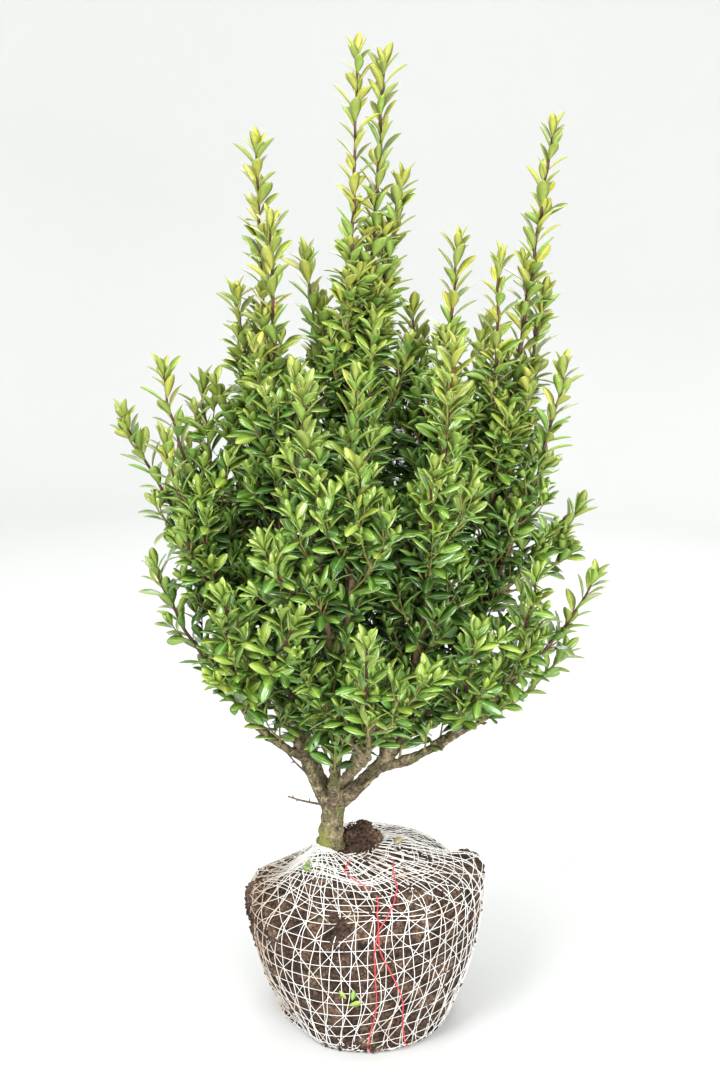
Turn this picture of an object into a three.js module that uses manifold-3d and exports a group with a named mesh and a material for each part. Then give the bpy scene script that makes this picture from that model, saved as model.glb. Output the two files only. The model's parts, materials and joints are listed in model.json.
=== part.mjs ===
// A young evergreen holly, lifted from the nursery field on its root ball.
// Millimetres, +Z up. The origin is the middle of the root ball's flat underside,
// +X is the viewer's right and +Y points away from the viewer.
import * as THREE from "three";
import { mergeVertices } from "three/addons/utils/BufferGeometryUtils.js";
import Module from "manifold-3d";

const wasm = await Module();
wasm.setup();

const vec = (x, y, z) => new THREE.Vector3(x, y, z);
const { lerp, smoothstep } = THREE.MathUtils;
const up = vec(0, 0, 1);
const goldenAngle = Math.PI * (3 - Math.sqrt(5));

// Driving dimensions: lengths in millimetres, angles in radians, shares from 0 to 1
const clearance = 0.35;
const ball = { height: 195, footRadius: 92, shoulderRadius: 124, skew: 11, lump: 3, segments: 20 };
const net = {
  strandRadius: 1.2,
  stand: 1.4,
  ribLift: 1.4,
  hoopRows: [1, 4, 6, 8],
  ribStep: 2,
  turnsFrom: 0.7,
  turnsTo: 0.97,
};
const mound = { x: -4, y: 6, z: 191, across: 24, deep: 19, tall: 15, sides: 9, rows: 5 };
const trunk = {
  foot: vec(-38.5, -6, ball.height + clearance),
  waist: vec(-37.5, -4, 216),
  fork: vec(-34.5, 0, 256),
  footRadius: 15,
  waistRadius: 11.6,
  forkRadius: 13,
  flareFall: 7,
  swellsFrom: 0.35,
  swellsTo: 0.8,
  roundedTop: 0.86,
  sunk: 6,
  sides: 10,
  steps: 7,
};
const bough = { sides: 6, steps: 4 };
const deadTwig = { footRadius: 1.2, tipRadius: 0.7, sag: 3, sides: 4, steps: 3 };
const stem = {
  footRadius: 2.2,
  tipRadius: 1,
  straight: 0.14,
  upturn: 0.36,
  rise: 0.83,
  stepLength: 75,
  bareShare: 0.06,
};
const fork = { firstAt: 0.3, apart: 0.1, radius: 1.6, bareShare: 0.2 };
const twig = {
  radius: 1.3,
  taper: 0.35,
  length: 60,
  lengthSpread: 0.2,
  longest: 1.15,
  bendsAt: 0.6,
  spacing: 74,
  firstAt: 0.14,
  lastAt: 0.66,
  lean: 1,
  rise: 0.3,
  margin: 3,
  bareShare: 0.35,
};
const leaf = {
  coreLength: 64,
  tipLength: 35,
  coreSpacing: 27,
  tipSpacing: 26,
  widthShare: 0.58,
  widestAt: 0.55,
  sizeSpread: 0.1,
  thickness: 2,
  lean: 0.9,
  leanSpread: 0.15,
  closing: 0.35,
  roll: 1.5,
  sink: 0.2,
  apart: 0.36,
  margin: 2,
  tries: 5,
  smaller: 0.72,
};
// The dense middle of the crown, where each leaf stands for a whole spray.
const crownCore = { middle: vec(-5, 0, 520), radii: vec(190, 170, 220), from: 0.55, to: 1.3 };
// How many points along a limb stand for it when space is shared out.
const samples = { shoot: 14, bough: 24, trunk: 12, twig: 4 };

// Each bough is one limb: where it leaves its parent, where it ends and its two radii.
// A bow above 0 carries its middle outwards before it turns up.
const boughs = [
  { name: "bough_right", foot: vec(-31, 0, 238), tip: vec(62, 8, 346), radii: [8.6, 5.8], bow: 0.05 },
  { name: "bough_left", foot: vec(-43, -1, 236), tip: vec(-92, 2, 356), radii: [7.4, 5.6], bow: 0.05 },
  { name: "bough_centre", foot: vec(-36, 8, 244), tip: vec(-31, 20, 392), radii: [6.4, 5.6], bow: 0 },
  { name: "bough_front", foot: vec(-36, -8, 240), tip: vec(-32, -60, 356), radii: [6, 5.2], bow: 0.06 },
  { name: "bough_back", foot: vec(-31, 8, 240), tip: vec(14, 66, 360), radii: [6, 5.2], bow: 0.08 },
  { name: "bough_back_left", foot: vec(-41, 7, 240), tip: vec(-84, 62, 350), radii: [5.8, 5.2], bow: 0.08 },
  { name: "bough_left_low", foot: vec(-66, 0, 290), tip: vec(-116, -28, 340), radii: [5, 4.6], bow: 0.08 },
  { name: "bough_left_up", foot: vec(-71, 1, 302), tip: vec(-84, 10, 400), radii: [5.4, 5], bow: 0.02 },
  { name: "bough_right_low", foot: vec(3, 2, 276), tip: vec(76, -16, 318), radii: [5.2, 4.8], bow: 0.06 },
  { name: "bough_right_up", foot: vec(14, 4, 286), tip: vec(40, -24, 384), radii: [5.4, 5], bow: 0.04 },
  { name: "bough_front_low", foot: vec(-35, -24, 274), tip: vec(-6, -92, 332), radii: [5, 4.8], bow: 0.08 },
  { name: "bough_back_low", foot: vec(-14.5, 28.5, 277), tip: vec(44, 92, 336), radii: [5, 4.8], bow: 0.08 },
];

// Each mass of foliage is one leading shoot, its forks and the twigs that they carry.
const firstSeed = 101;
const masses = [
  { name: "foliage_top_left", bough: "bough_centre", tip: vec(-23, 2, 990), forks: [vec(-70, 40, 802)] },
  {
    name: "foliage_top_right",
    bough: "bough_centre",
    tip: vec(2, 12, 982),
    forks: [vec(8, 56, 796), vec(20, 22, 876)],
  },
  { name: "foliage_centre", bough: "bough_centre", tip: vec(-6, -26, 690), forks: [vec(-40, 70, 640)] },
  { name: "foliage_left_tall", bough: "bough_left_up", tip: vec(-118, 30, 904), forks: [vec(-136, 6, 768)] },
  {
    name: "foliage_left_leader",
    bough: "bough_left_up",
    tip: vec(-101, -22, 836),
    forks: [vec(-76, -64, 700)],
  },
  {
    name: "foliage_right_leader",
    bough: "bough_right_up",
    tip: vec(74, 2, 818),
    forks: [vec(36, 44, 750)],
  },
  {
    name: "foliage_right_tall",
    bough: "bough_right",
    tip: vec(160, 2, 924),
    forks: [vec(114, -20, 806), vec(160, 14, 770)],
  },
  { name: "foliage_right_side", bough: "bough_right", tip: vec(181, -18, 704), forks: [vec(204, 24, 556)] },
  {
    name: "foliage_left_outer",
    bough: "bough_left",
    tip: vec(-208, 2, 692),
    forks: [vec(-244, 2, 648), vec(-172, 26, 676)],
  },
  {
    name: "foliage_left_side",
    bough: "bough_left",
    tip: vec(-204, -32, 632),
    forks: [vec(-186, -36, 540)],
  },
  {
    name: "foliage_left_low",
    bough: "bough_left_low",
    tip: vec(-218, -4, 496),
    forks: [vec(-160, -10, 392)],
  },
  {
    name: "foliage_front_left_low",
    bough: "bough_left_low",
    tip: vec(-140, -112, 500),
    forks: [vec(-72, -146, 490), vec(-120, -92, 400)],
  },
  {
    name: "foliage_right_low",
    bough: "bough_right_low",
    tip: vec(198, 6, 410),
    forks: [vec(126, 20, 350)],
  },
  {
    name: "foliage_right_mid",
    bough: "bough_right_low",
    tip: vec(222, -9, 492),
    forks: [vec(156, -86, 518)],
  },
  {
    name: "foliage_front_right_low",
    bough: "bough_right_low",
    tip: vec(96, -118, 470),
    forks: [vec(104, -70, 380)],
  },
  {
    name: "foliage_front_left",
    bough: "bough_front",
    tip: vec(-66, -118, 696),
    forks: [vec(-100, -140, 560)],
  },
  {
    name: "foliage_front_centre",
    bough: "bough_front",
    tip: vec(-20, -78, 700),
    forks: [vec(-14, -136, 630)],
  },
  {
    name: "foliage_front_right",
    bough: "bough_right_up",
    tip: vec(70, -92, 732),
    forks: [vec(52, -132, 630)],
  },
  {
    name: "foliage_front_low",
    bough: "bough_front_low",
    tip: vec(-6, -180, 480),
    forks: [vec(50, -150, 440)],
  },
  {
    name: "foliage_front_low_left",
    bough: "bough_front_low",
    tip: vec(-66, -124, 440),
    forks: [vec(-44, -70, 372)],
  },
  { name: "foliage_back_centre", bough: "bough_back", tip: vec(-4, 122, 742), forks: [vec(-40, 150, 600)] },
  { name: "foliage_back_right", bough: "bough_back", tip: vec(112, 112, 724), forks: [vec(164, 92, 590)] },
  {
    name: "foliage_back_left",
    bough: "bough_back_left",
    tip: vec(-138, 112, 698),
    forks: [vec(-190, 92, 550)],
  },
  {
    name: "foliage_back_low_left",
    bough: "bough_back_left",
    tip: vec(-92, 172, 510),
    forks: [vec(-160, 120, 440), vec(-100, 110, 390)],
  },
  {
    name: "foliage_back_low_right",
    bough: "bough_back_low",
    tip: vec(44, 180, 490),
    forks: [vec(142, 134, 460)],
  },
  { name: "foliage_back_low", bough: "bough_back_low", tip: vec(-26, 140, 440), forks: [vec(10, 90, 400)] },
];

// Short dead twigs on the bare lower wood.
const deadTwigs = [
  { name: "dead_twig_low", foot: vec(-42, -3, 238), tip: vec(-84, -16, 254) },
  { name: "dead_twig_left", foot: vec(-57, -1, 267), tip: vec(-84, -16, 302) },
  { name: "dead_twig_right", foot: vec(-16, -1, 253), tip: vec(16, -18, 292) },
];

// A small seeded random source, so that the plant grows the same way each time.
function seeded(seed) {
  let state = seed >>> 0;
  return () => {
    state = (state + 0x6d2b79f5) >>> 0;
    let mixed = Math.imul(state ^ (state >>> 15), state | 1);
    mixed ^= mixed + Math.imul(mixed ^ (mixed >>> 7), mixed | 61);
    return ((mixed ^ (mixed >>> 14)) >>> 0) / 2 ** 32;
  };
}

// A closed mesh as a solid, once its shared corners are merged.
function solidOf(geometry) {
  geometry.deleteAttribute("normal");
  geometry.deleteAttribute("uv");
  const merged = mergeVertices(geometry, 1e-4);
  return new wasm.Manifold(
    new wasm.Mesh({
      numProp: 3,
      vertProperties: new Float32Array(merged.attributes.position.array),
      triVerts: new Uint32Array(merged.index.array),
    }),
  );
}

// A solid as a shape that a mesh can show.
function geometryOf(solid) {
  const mesh = solid.getMesh();
  const geometry = new THREE.BufferGeometry();
  geometry.setAttribute("position", new THREE.BufferAttribute(new Float32Array(mesh.vertProperties), 3));
  geometry.setIndex(new THREE.BufferAttribute(new Uint32Array(mesh.triVerts), 1));
  geometry.computeVertexNormals();
  return geometry;
}

// The largest body of a solid, without the loose scraps that a cut may leave.
function mainBody(solid) {
  return solid.decompose().reduce((best, body) => (body.volume() > best.volume() ? body : best));
}

// A value that varies by up to a share of itself either way.
function varied(value, share, random) {
  return value * (1 + share * (2 * random() - 1));
}

function meshOf(points, faces) {
  const places = points.flatMap((point) => point.toArray());
  const geometry = new THREE.BufferGeometry();
  geometry.setAttribute("position", new THREE.Float32BufferAttribute(places, 3));
  geometry.setIndex(faces);
  return geometry;
}

// A skin over rings of points: closed on itself, or with a flat face at each end.
function loft(rings, closed = false) {
  const sides = rings[0].length;
  const faces = [];
  for (let row = 0; row < rings.length - (closed ? 0 : 1); row++) {
    const nextRow = (row + 1) % rings.length;
    for (let i = 0; i < sides; i++) {
      const next = (i + 1) % sides;
      const [a, b] = [row * sides + i, row * sides + next];
      const [c, d] = [nextRow * sides + i, nextRow * sides + next];
      faces.push(a, b, d, a, d, c);
    }
  }
  const lastRow = (rings.length - 1) * sides;
  for (let i = 1; i + 1 < sides && !closed; i++) {
    faces.push(0, i + 1, i);
    faces.push(lastRow, lastRow + i, lastRow + i + 1);
  }
  return meshOf(rings.flat(), faces);
}

// The direction square to a limb, turned about it by an angle.
function sideDirection(along, turn) {
  const first = Math.abs(along.z) > 0.95 ? vec(1, 0, 0) : up;
  const across = first.clone().cross(along).normalize();
  const over = along.clone().cross(across);
  return across.multiplyScalar(Math.cos(turn)).addScaledVector(over, Math.sin(turn));
}

// A tapering limb along a curve; radiusAt takes the share of its length. With extra it is
// thicker and longer at both ends by that much, to keep its neighbours clear.
function limb(curve, steps, sides, radiusAt, extra = 0) {
  const { tangents, normals, binormals } = curve.computeFrenetFrames(steps, false);
  const rings = normals.map((normal, step) => {
    const share = step / steps;
    const beyond = share === 1 ? extra : share === 0 ? -extra : 0;
    const middle = curve.getPointAt(share).addScaledVector(tangents[step], beyond);
    const radius = radiusAt(share) + extra;
    return Array.from({ length: sides }, (_, side) => {
      const turn = (2 * Math.PI * side) / sides;
      return middle
        .clone()
        .addScaledVector(normal, radius * Math.cos(turn))
        .addScaledVector(binormals[step], radius * Math.sin(turn));
    });
  });
  return solidOf(loft(rings));
}

// Root ball: each ring's height as a share of the ball's, its radius as a share of the
// shoulder's, and how far it has moved from the ball's own axis towards the trunk's foot.
const footShare = ball.footRadius / ball.shoulderRadius;
const ballProfile = [
  [0, footShare, 0],
  [0.05, footShare + 0.04, 0],
  [0.2, footShare + 0.11, 0],
  [0.38, footShare + 0.18, 0],
  [0.58, 0.97, 0],
  [0.76, 1, 0],
  [0.85, 0.94, 0.04],
  [0.91, 0.81, 0.15],
  [0.955, 0.62, 0.35],
  [0.985, 0.4, 0.65],
  [1, 0.17, 1],
];

// A point on the ball. Its two flat rings are round, and those between them are lumpy.
function ballPoint(row, column) {
  const [height, radiusShare, shift] = ballProfile[row];
  const turn = (2 * Math.PI * column) / ball.segments;
  const wide = Math.sin(3 * turn + 0.7 * row) + 0.5 * Math.cos(2 * turn + row);
  const narrow = 0.7 * Math.sin(5 * turn - 1.3 * row + 1);
  const lumps = height > 0 && height < 1 ? ball.lump * (wide + narrow) : 0;
  const radius = radiusShare * ball.shoulderRadius + lumps;
  const tilt = 4 * height * (1 - height) * ball.skew * Math.cos(turn);
  return vec(
    radius * Math.cos(turn) + shift * trunk.foot.x,
    radius * Math.sin(turn) + shift * trunk.foot.y,
    height * ball.height + tilt,
  );
}

const ballRows = ballProfile.map((_, row) => row);
const ballColumns = Array.from({ length: ball.segments }, (_, column) => column);

// The root ball's soil, or with a lift the space above it that its neighbours keep clear of.
function ballSolid(lift) {
  const raised = vec(0, 0, lift);
  const ring = (row) => ballColumns.map((column) => ballPoint(row, column).add(raised));
  return solidOf(loft(ballRows.map(ring)));
}

// Trunk: a flared foot, a waist and a swelling under the fork.
const trunkCurve = new THREE.CatmullRomCurve3([
  trunk.foot.clone().addScaledVector(up, -trunk.sunk),
  trunk.waist,
  trunk.fork,
]);

function trunkRadius(share) {
  const { footRadius, waistRadius, forkRadius, flareFall, swellsFrom, swellsTo } = trunk;
  const flare = (footRadius - waistRadius) * Math.exp(-flareFall * share);
  const swelling = (forkRadius - waistRadius) * smoothstep(share, swellsFrom, swellsTo);
  const rounding = share === 1 ? trunk.roundedTop : 1;
  return (waistRadius + flare + swelling) * rounding;
}

// The trunk with its flat cut, or with extra the space that its neighbours keep clear of.
function trunkSolid(extra) {
  const skin = limb(trunkCurve, trunk.steps, trunk.sides, trunkRadius, extra);
  const reach = 4 * trunk.footRadius;
  const below = new THREE.BoxGeometry(reach, reach, reach);
  below.translate(trunk.foot.x, trunk.foot.y, trunk.foot.z - extra - reach / 2);
  return skin.subtract(solidOf(below));
}

// The lump of the ball's soil that stands up beside the trunk where the netting is open.
function heapSolid() {
  const heap = new THREE.SphereGeometry(1, mound.sides, mound.rows).rotateX(Math.PI / 2);
  const place = heap.attributes.position;
  for (let i = 0; i < place.count; i++) {
    const [x, y, z] = [place.getX(i), place.getY(i), place.getZ(i)];
    const lump = 1 + 0.09 * Math.sin(5 * x + 3 * y) + 0.07 * Math.cos(6 * y + 4 * z);
    place.setXYZ(i, x * lump * mound.across, y * lump * mound.deep, z * lump * mound.tall);
  }
  return solidOf(heap.translate(mound.x, mound.y, mound.z));
}

function soilMound() {
  return mainBody(heapSolid().subtract(ballSolid(clearance)).subtract(trunkSolid(clearance)));
}

// Netting: hoops round the ball and ribs that run up over them, drawn in to a neck at the top.
// A knot's own direction turns from outwards on the ball's side to upwards on its dome.
function netKnot(row, column, stand) {
  const at = ballPoint(row, Math.floor(column)).lerp(ballPoint(row, Math.ceil(column)), column % 1);
  const onTop = smoothstep(ballProfile[row][0], net.turnsFrom, net.turnsTo);
  const out = vec(at.x, at.y, 0).normalize().multiplyScalar(1 - 0.9 * onTop);
  out.z = onTop;
  return { at: at.addScaledVector(out.normalize(), stand), out };
}

// A three-sided strand. A hoop's flat face lies towards the ball, and a rib's edge does.
function strand(knots, closed) {
  const rings = knots.map(({ at, out }, i) => {
    const before = (knots[i - 1] ?? (closed ? knots.at(-1) : knots[i])).at;
    const after = (knots[i + 1] ?? (closed ? knots[0] : knots[i])).at;
    const along = after.clone().sub(before).normalize();
    const away = out.clone().projectOnPlane(along).normalize();
    const side = away.clone().cross(along);
    return [0, 1, 2].map((corner) => {
      const turn = (2 * Math.PI * corner) / 3 + (closed ? Math.PI / 2 : -Math.PI / 2);
      return at
        .clone()
        .addScaledVector(side, net.strandRadius * Math.cos(turn))
        .addScaledVector(away, net.strandRadius * Math.sin(turn));
    });
  });
  return solidOf(loft(rings, closed));
}

function netting() {
  const rows = ballRows.slice(net.hoopRows[0], net.hoopRows.at(-1) + 1);
  const ribs = ballColumns
    .filter((column) => column % net.ribStep === 0)
    .map((column) => rows.map((row) => netKnot(row, column + 0.5, net.stand + net.ribLift)))
    .map((knots) => strand(knots, false));
  const hoops = net.hoopRows
    .map((row) => ballColumns.map((column) => netKnot(row, column, net.stand)))
    .map((knots) => strand(knots, true));
  const woven = wasm.Manifold.union([...ribs, ...hoops]);
  return mainBody(woven.subtract(trunkSolid(clearance)).subtract(heapSolid()));
}

// A bough's curve from its parent's middle to its tip.
function boughCurve({ foot, tip, bow }) {
  const out = vec(tip.x - foot.x, tip.y - foot.y, 0);
  const middle = foot.clone().lerp(tip, 0.5);
  const bend = middle.addScaledVector(out, bow).addScaledVector(up, -bow * out.length());
  return new THREE.QuadraticBezierCurve3(foot, bend, tip);
}

function boughSolid(spec, extra) {
  const [foot, tip] = spec.radii;
  return limb(boughCurve(spec), bough.steps, bough.sides, (share) => lerp(foot, tip, share), extra);
}

function deadTwigSolid({ foot, tip }) {
  const middle = foot.clone().lerp(tip, 0.5).addScaledVector(up, -deadTwig.sag);
  const curve = new THREE.QuadraticBezierCurve3(foot, middle, tip);
  const radiusAt = (share) => lerp(deadTwig.footRadius, deadTwig.tipRadius, share);
  return limb(curve, deadTwig.steps, deadTwig.sides, radiusAt);
}

// A shoot sets off along its parent and turns up towards its tip.
function shootCurve(start, away, tip) {
  const reach = start.distanceTo(tip);
  const aim = tip.clone().sub(start).normalize().addScaledVector(up, stem.rise).normalize();
  return new THREE.CubicBezierCurve3(
    start,
    start.clone().addScaledVector(away, reach * stem.straight),
    tip.clone().addScaledVector(aim, -reach * stem.upturn),
    tip,
  );
}

// Masses that share a bough's tip stand round it in the order in which they spread.
function stemStart(mass, parent, away) {
  const sharers = masses.filter((other) => other.bough === mass.bough);
  const heading = (other) => other.tip.clone().sub(parent.tip).normalize();
  const mean = vec(0, 0, 0);
  sharers.forEach((other) => mean.addScaledVector(heading(other), 1 / sharers.length));
  const bearing = (other) => {
    const spread = heading(other).sub(mean);
    return Math.atan2(spread.dot(sideDirection(away, Math.PI / 2)), spread.dot(sideDirection(away, 0)));
  };
  sharers.sort((a, b) => bearing(a) - bearing(b));
  const turn = bearing(sharers[0]) + (2 * Math.PI * sharers.indexOf(mass)) / sharers.length;
  const offset = (stem.footRadius + clearance) / Math.sin(Math.PI / sharers.length);
  return parent.tip
    .clone()
    .addScaledVector(away, clearance)
    .addScaledVector(sideDirection(away, turn), offset);
}

// Each mass's leading shoot and its forks, before any twig or leaf.
function shootsOf(mass) {
  const parent = boughs.find((spec) => spec.name === mass.bough);
  const away = boughCurve(parent).getTangentAt(1);
  const curve = shootCurve(stemStart(mass, parent, away), away, mass.tip);
  const forks = mass.forks.map((tip, i) => {
    const at = fork.firstAt + fork.apart * i;
    return {
      curve: shootCurve(curve.getPointAt(at), curve.getTangentAt(at), tip),
      radius: fork.radius,
      bareShare: fork.bareShare,
    };
  });
  return [{ curve, radius: stem.footRadius, bareShare: stem.bareShare }, ...forks];
}

const shoots = new Map(masses.map((mass) => [mass.name, shootsOf(mass)]));

// Points along every shoot and limb, which share out the space of the crown.
const pointsOf = (list) => list.flatMap(({ curve }) => curve.getSpacedPoints(samples.shoot));
const shootPoints = new Map([...shoots].map(([name, list]) => [name, pointsOf(list)]));
const pointsAlong = (curve, count, radius) =>
  curve.getSpacedPoints(count).map((point) => ({ point, reach: radius + leaf.margin }));
const limbPoints = [
  ...boughs.flatMap((spec) => pointsAlong(boughCurve(spec), samples.bough, spec.radii[0])),
  ...pointsAlong(trunkCurve, samples.trunk, trunk.footRadius),
];

const nearest = (points, place) => Math.min(...points.map((point) => place.distanceTo(point)));

// A place is free when it is nearer to its own mass than to any other and clear of every limb.
function isFree(name, place, margin) {
  const own = nearest(shootPoints.get(name), place);
  for (const [other, points] of shootPoints) {
    if (other !== name && nearest(points, place) < own + margin) {
      return false;
    }
  }
  return limbPoints.every(({ point, reach }) => place.distanceTo(point) > reach);
}

// A leaf blade: its root and its tip on the midrib, and its two sides folded up from it.
function leafCorners(root, along, face, length) {
  const across = face.clone().cross(along).normalize();
  const middle = root.clone().addScaledVector(along, length * leaf.widestAt);
  const widest = middle.addScaledVector(face, leaf.thickness);
  const half = (length / 2) * leaf.widthShare;
  return [
    root,
    root.clone().addScaledVector(along, length),
    widest.clone().addScaledVector(across, half),
    widest.clone().addScaledVector(across, -half),
  ];
}

// A blade of four faces: two above, which meet the edges, and two below, which meet the midrib.
const bladeFaces = [0, 3, 2, 1, 2, 3, 0, 2, 1, 0, 1, 3];
const leafSolid = (corners) => solidOf(meshOf(corners, bladeFaces));

// How far out of the crown's middle a place is, from 0 inside it to 1 at the furthest tips.
function outness(place) {
  const share = place.clone().sub(crownCore.middle).divide(crownCore.radii).length();
  return smoothstep(share, crownCore.from, crownCore.to);
}

const leafLength = (place) => lerp(leaf.coreLength, leaf.tipLength, outness(place));
const leafSpacing = (place) => lerp(leaf.coreSpacing, leaf.tipSpacing, outness(place));

// A direction that leans out of a limb by an angle, at a turn about it.
function leaning(along, turn, lean) {
  return along
    .clone()
    .multiplyScalar(Math.cos(lean))
    .addScaledVector(sideDirection(along, turn), Math.sin(lean));
}

// Leaves stand out of a shoot in a spiral, and lie closer to it towards its tip.
function leavesOn(name, shoot, random, grown) {
  const length = shoot.curve.getLength();
  let turn = random() * 2 * Math.PI;
  let share = shoot.bareShare;
  while (share < 1) {
    const root = shoot.curve.getPointAt(share);
    const along = shoot.curve.getTangentAt(share);
    const size = varied(leafLength(root), leaf.sizeSpread, random);
    const lean = varied(leaf.lean * (1 - leaf.closing * share), leaf.leanSpread, random);
    const roll = leaf.roll * (random() - 0.5);
    for (let attempt = 0; attempt < leaf.tries; attempt++) {
      turn += goldenAngle;
      const aim = leaning(along, turn, lean);
      const fitted = attempt < leaf.tries / 2 ? size : size * leaf.smaller;
      if (placeLeaf(name, { root, along, aim, roll, size: fitted }, grown)) {
        break;
      }
    }
    share += leafSpacing(root) / length;
  }
  const tip = shoot.curve.getPointAt(1);
  const aim = shoot.curve.getTangentAt(1);
  const size = leafLength(tip) * leaf.smaller;
  placeLeaf(name, { root: tip, along: sideDirection(aim, turn), aim, roll: 0, size }, grown);
}

// Fuses one leaf on where it has room, and says whether it did.
function placeLeaf(name, { root, along, aim, roll, size }, grown) {
  const face = along.clone().projectOnPlane(aim).normalize().applyAxisAngle(aim, roll);
  const corners = leafCorners(root.clone().addScaledVector(aim, -leaf.sink), aim, face, size);
  const [foot, tip, left, right] = corners;
  const middle = foot.clone().lerp(tip, leaf.widestAt);
  const halfway = (a, b) => a.clone().lerp(b, 0.5);
  const edges = [left, right].flatMap((side) => [side, halfway(side, tip), halfway(side, foot)]);
  const crowded = grown.middles.some((other) => other.distanceTo(middle) < size * leaf.apart);
  if (crowded || ![tip, middle, ...edges].every((place) => isFree(name, place, leaf.margin))) {
    return false;
  }
  grown.middles.push(middle);
  grown.solids.push(leafSolid(corners));
  return true;
}

// Side twigs leave the leading shoot in the same spiral, shorter towards its tip, and curve up.
function twigsOn(name, { curve }, random, grown) {
  const twigs = [];
  let turn = random() * 2 * Math.PI;
  for (let share = twig.firstAt; share < twig.lastAt; share += twig.spacing / curve.getLength()) {
    turn += goldenAngle;
    const root = curve.getPointAt(share);
    const aim = leaning(curve.getTangentAt(share), turn, twig.lean);
    const reach = varied(twig.length * (twig.longest - share), twig.lengthSpread, random);
    const bend = root.clone().addScaledVector(aim, reach * twig.bendsAt);
    const tip = root.clone().addScaledVector(aim, reach).addScaledVector(up, reach * twig.rise);
    const path = new THREE.QuadraticBezierCurve3(root, bend, tip);
    const places = path.getSpacedPoints(samples.twig).slice(1);
    if (places.every((place) => isFree(name, place, twig.margin))) {
      grown.solids.push(limb(path, 1, 3, (along) => twig.radius * (1 - twig.taper * along)));
      twigs.push({ curve: path, bareShare: twig.bareShare });
    }
  }
  return twigs;
}

// One mass of foliage, fused into a single body.
function foliage(mass, seed) {
  const random = seeded(seed);
  const [leader, ...forks] = shoots.get(mass.name);
  const grown = { solids: [], middles: [] };
  for (const { curve, radius } of [leader, ...forks]) {
    const steps = Math.max(3, Math.round(curve.getLength() / stem.stepLength));
    grown.solids.push(limb(curve, steps, 3, (share) => lerp(radius, stem.tipRadius, share)));
  }
  const twigs = twigsOn(mass.name, leader, random, grown);
  for (const shoot of [leader, ...forks, ...twigs]) {
    leavesOn(mass.name, shoot, random, grown);
  }
  return mainBody(wasm.Manifold.union(grown.solids));
}

// Materials
const matte = (color, roughness) => new THREE.MeshStandardMaterial({ color, roughness, metalness: 0 });
const soil = matte(0x4a382c, 1);
const netYarn = matte(0xf0eeea, 0.6);
const bark = matte(0x8a7b62, 0.9);
const deadWood = matte(0x4d4038, 0.9);
const greenLeaf = matte(0x4f8a2c, 0.45);
const youngLeaf = matte(0x9fbf3a, 0.45);
const youngAbove = 720;

// The plant on its root ball
const plant = new THREE.Group();

function addNode(name, solid, material) {
  const mesh = new THREE.Mesh(geometryOf(solid), material);
  mesh.name = name;
  plant.add(mesh);
}

addNode("root_ball", ballSolid(0), soil);
addNode("soil_mound", soilMound(), soil);
addNode("netting", netting(), netYarn);
addNode("trunk", trunkSolid(0), bark);

// Each limb is cut back from those before it, so that they meet with a hair's gap.
const taken = [trunkSolid(clearance)];
const cutBack = (solid) => mainBody(taken.reduce((rest, earlier) => rest.subtract(earlier), solid));
for (const spec of boughs) {
  addNode(spec.name, cutBack(boughSolid(spec, 0)), bark);
  taken.push(boughSolid(spec, clearance));
}
for (const spec of deadTwigs) {
  addNode(spec.name, cutBack(deadTwigSolid(spec)), deadWood);
}

masses.forEach((mass, i) => {
  addNode(mass.name, foliage(mass, firstSeed + i), mass.tip.z > youngAbove ? youngLeaf : greenLeaf);
});

export default plant;
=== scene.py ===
# A young holly shrub on its netted root ball: the looks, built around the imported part
import json
import math
import random

import bpy
import numpy as np
from mathutils import Matrix, Quaternion, Vector, noise
from mathutils.kdtree import KDTree

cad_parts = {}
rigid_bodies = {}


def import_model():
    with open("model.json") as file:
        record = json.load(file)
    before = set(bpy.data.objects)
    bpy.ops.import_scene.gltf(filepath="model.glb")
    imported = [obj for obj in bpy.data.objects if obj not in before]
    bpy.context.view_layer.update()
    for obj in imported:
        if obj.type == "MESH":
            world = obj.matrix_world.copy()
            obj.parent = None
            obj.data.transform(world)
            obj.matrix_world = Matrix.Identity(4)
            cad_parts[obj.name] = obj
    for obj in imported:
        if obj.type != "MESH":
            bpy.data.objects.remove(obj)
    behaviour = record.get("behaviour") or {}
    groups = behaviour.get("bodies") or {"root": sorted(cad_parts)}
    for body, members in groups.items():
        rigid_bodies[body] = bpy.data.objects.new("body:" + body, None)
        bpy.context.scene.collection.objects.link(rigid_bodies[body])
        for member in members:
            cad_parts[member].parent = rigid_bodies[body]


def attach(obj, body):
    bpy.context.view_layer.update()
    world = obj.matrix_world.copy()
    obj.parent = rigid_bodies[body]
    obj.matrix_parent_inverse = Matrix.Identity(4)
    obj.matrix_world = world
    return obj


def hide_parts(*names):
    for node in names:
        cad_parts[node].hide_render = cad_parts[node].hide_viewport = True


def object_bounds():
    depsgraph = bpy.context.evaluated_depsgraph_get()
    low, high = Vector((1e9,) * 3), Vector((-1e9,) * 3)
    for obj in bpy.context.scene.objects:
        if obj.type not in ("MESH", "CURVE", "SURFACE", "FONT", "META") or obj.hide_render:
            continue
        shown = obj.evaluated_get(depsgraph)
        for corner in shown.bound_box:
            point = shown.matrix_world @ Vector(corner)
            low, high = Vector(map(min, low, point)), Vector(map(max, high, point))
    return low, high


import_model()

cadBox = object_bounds()
mm = 0.001
goldenAngle = math.pi * (3 - math.sqrt(5))
up = np.array([0.0, 0.0, 1.0])


# Small helpers
def vec(x, y, z):
    return np.array([x, y, z], dtype=float)


def unit(v):
    return v / max(float(np.linalg.norm(v)), 1e-9)


def mix(a, b, share):
    return a + (b - a) * share


def smoothStep(value, low, high):
    t = min(max((value - low) / (high - low), 0), 1)
    return t * t * (3 - 2 * t)


def linearColour(hexCode):
    parts = [int(hexCode[i:i + 2], 16) / 255 for i in (1, 3, 5)]
    return [c / 12.92 if c <= 0.04045 else ((c + 0.055) / 1.055) ** 2.4 for c in parts] + [1]


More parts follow.
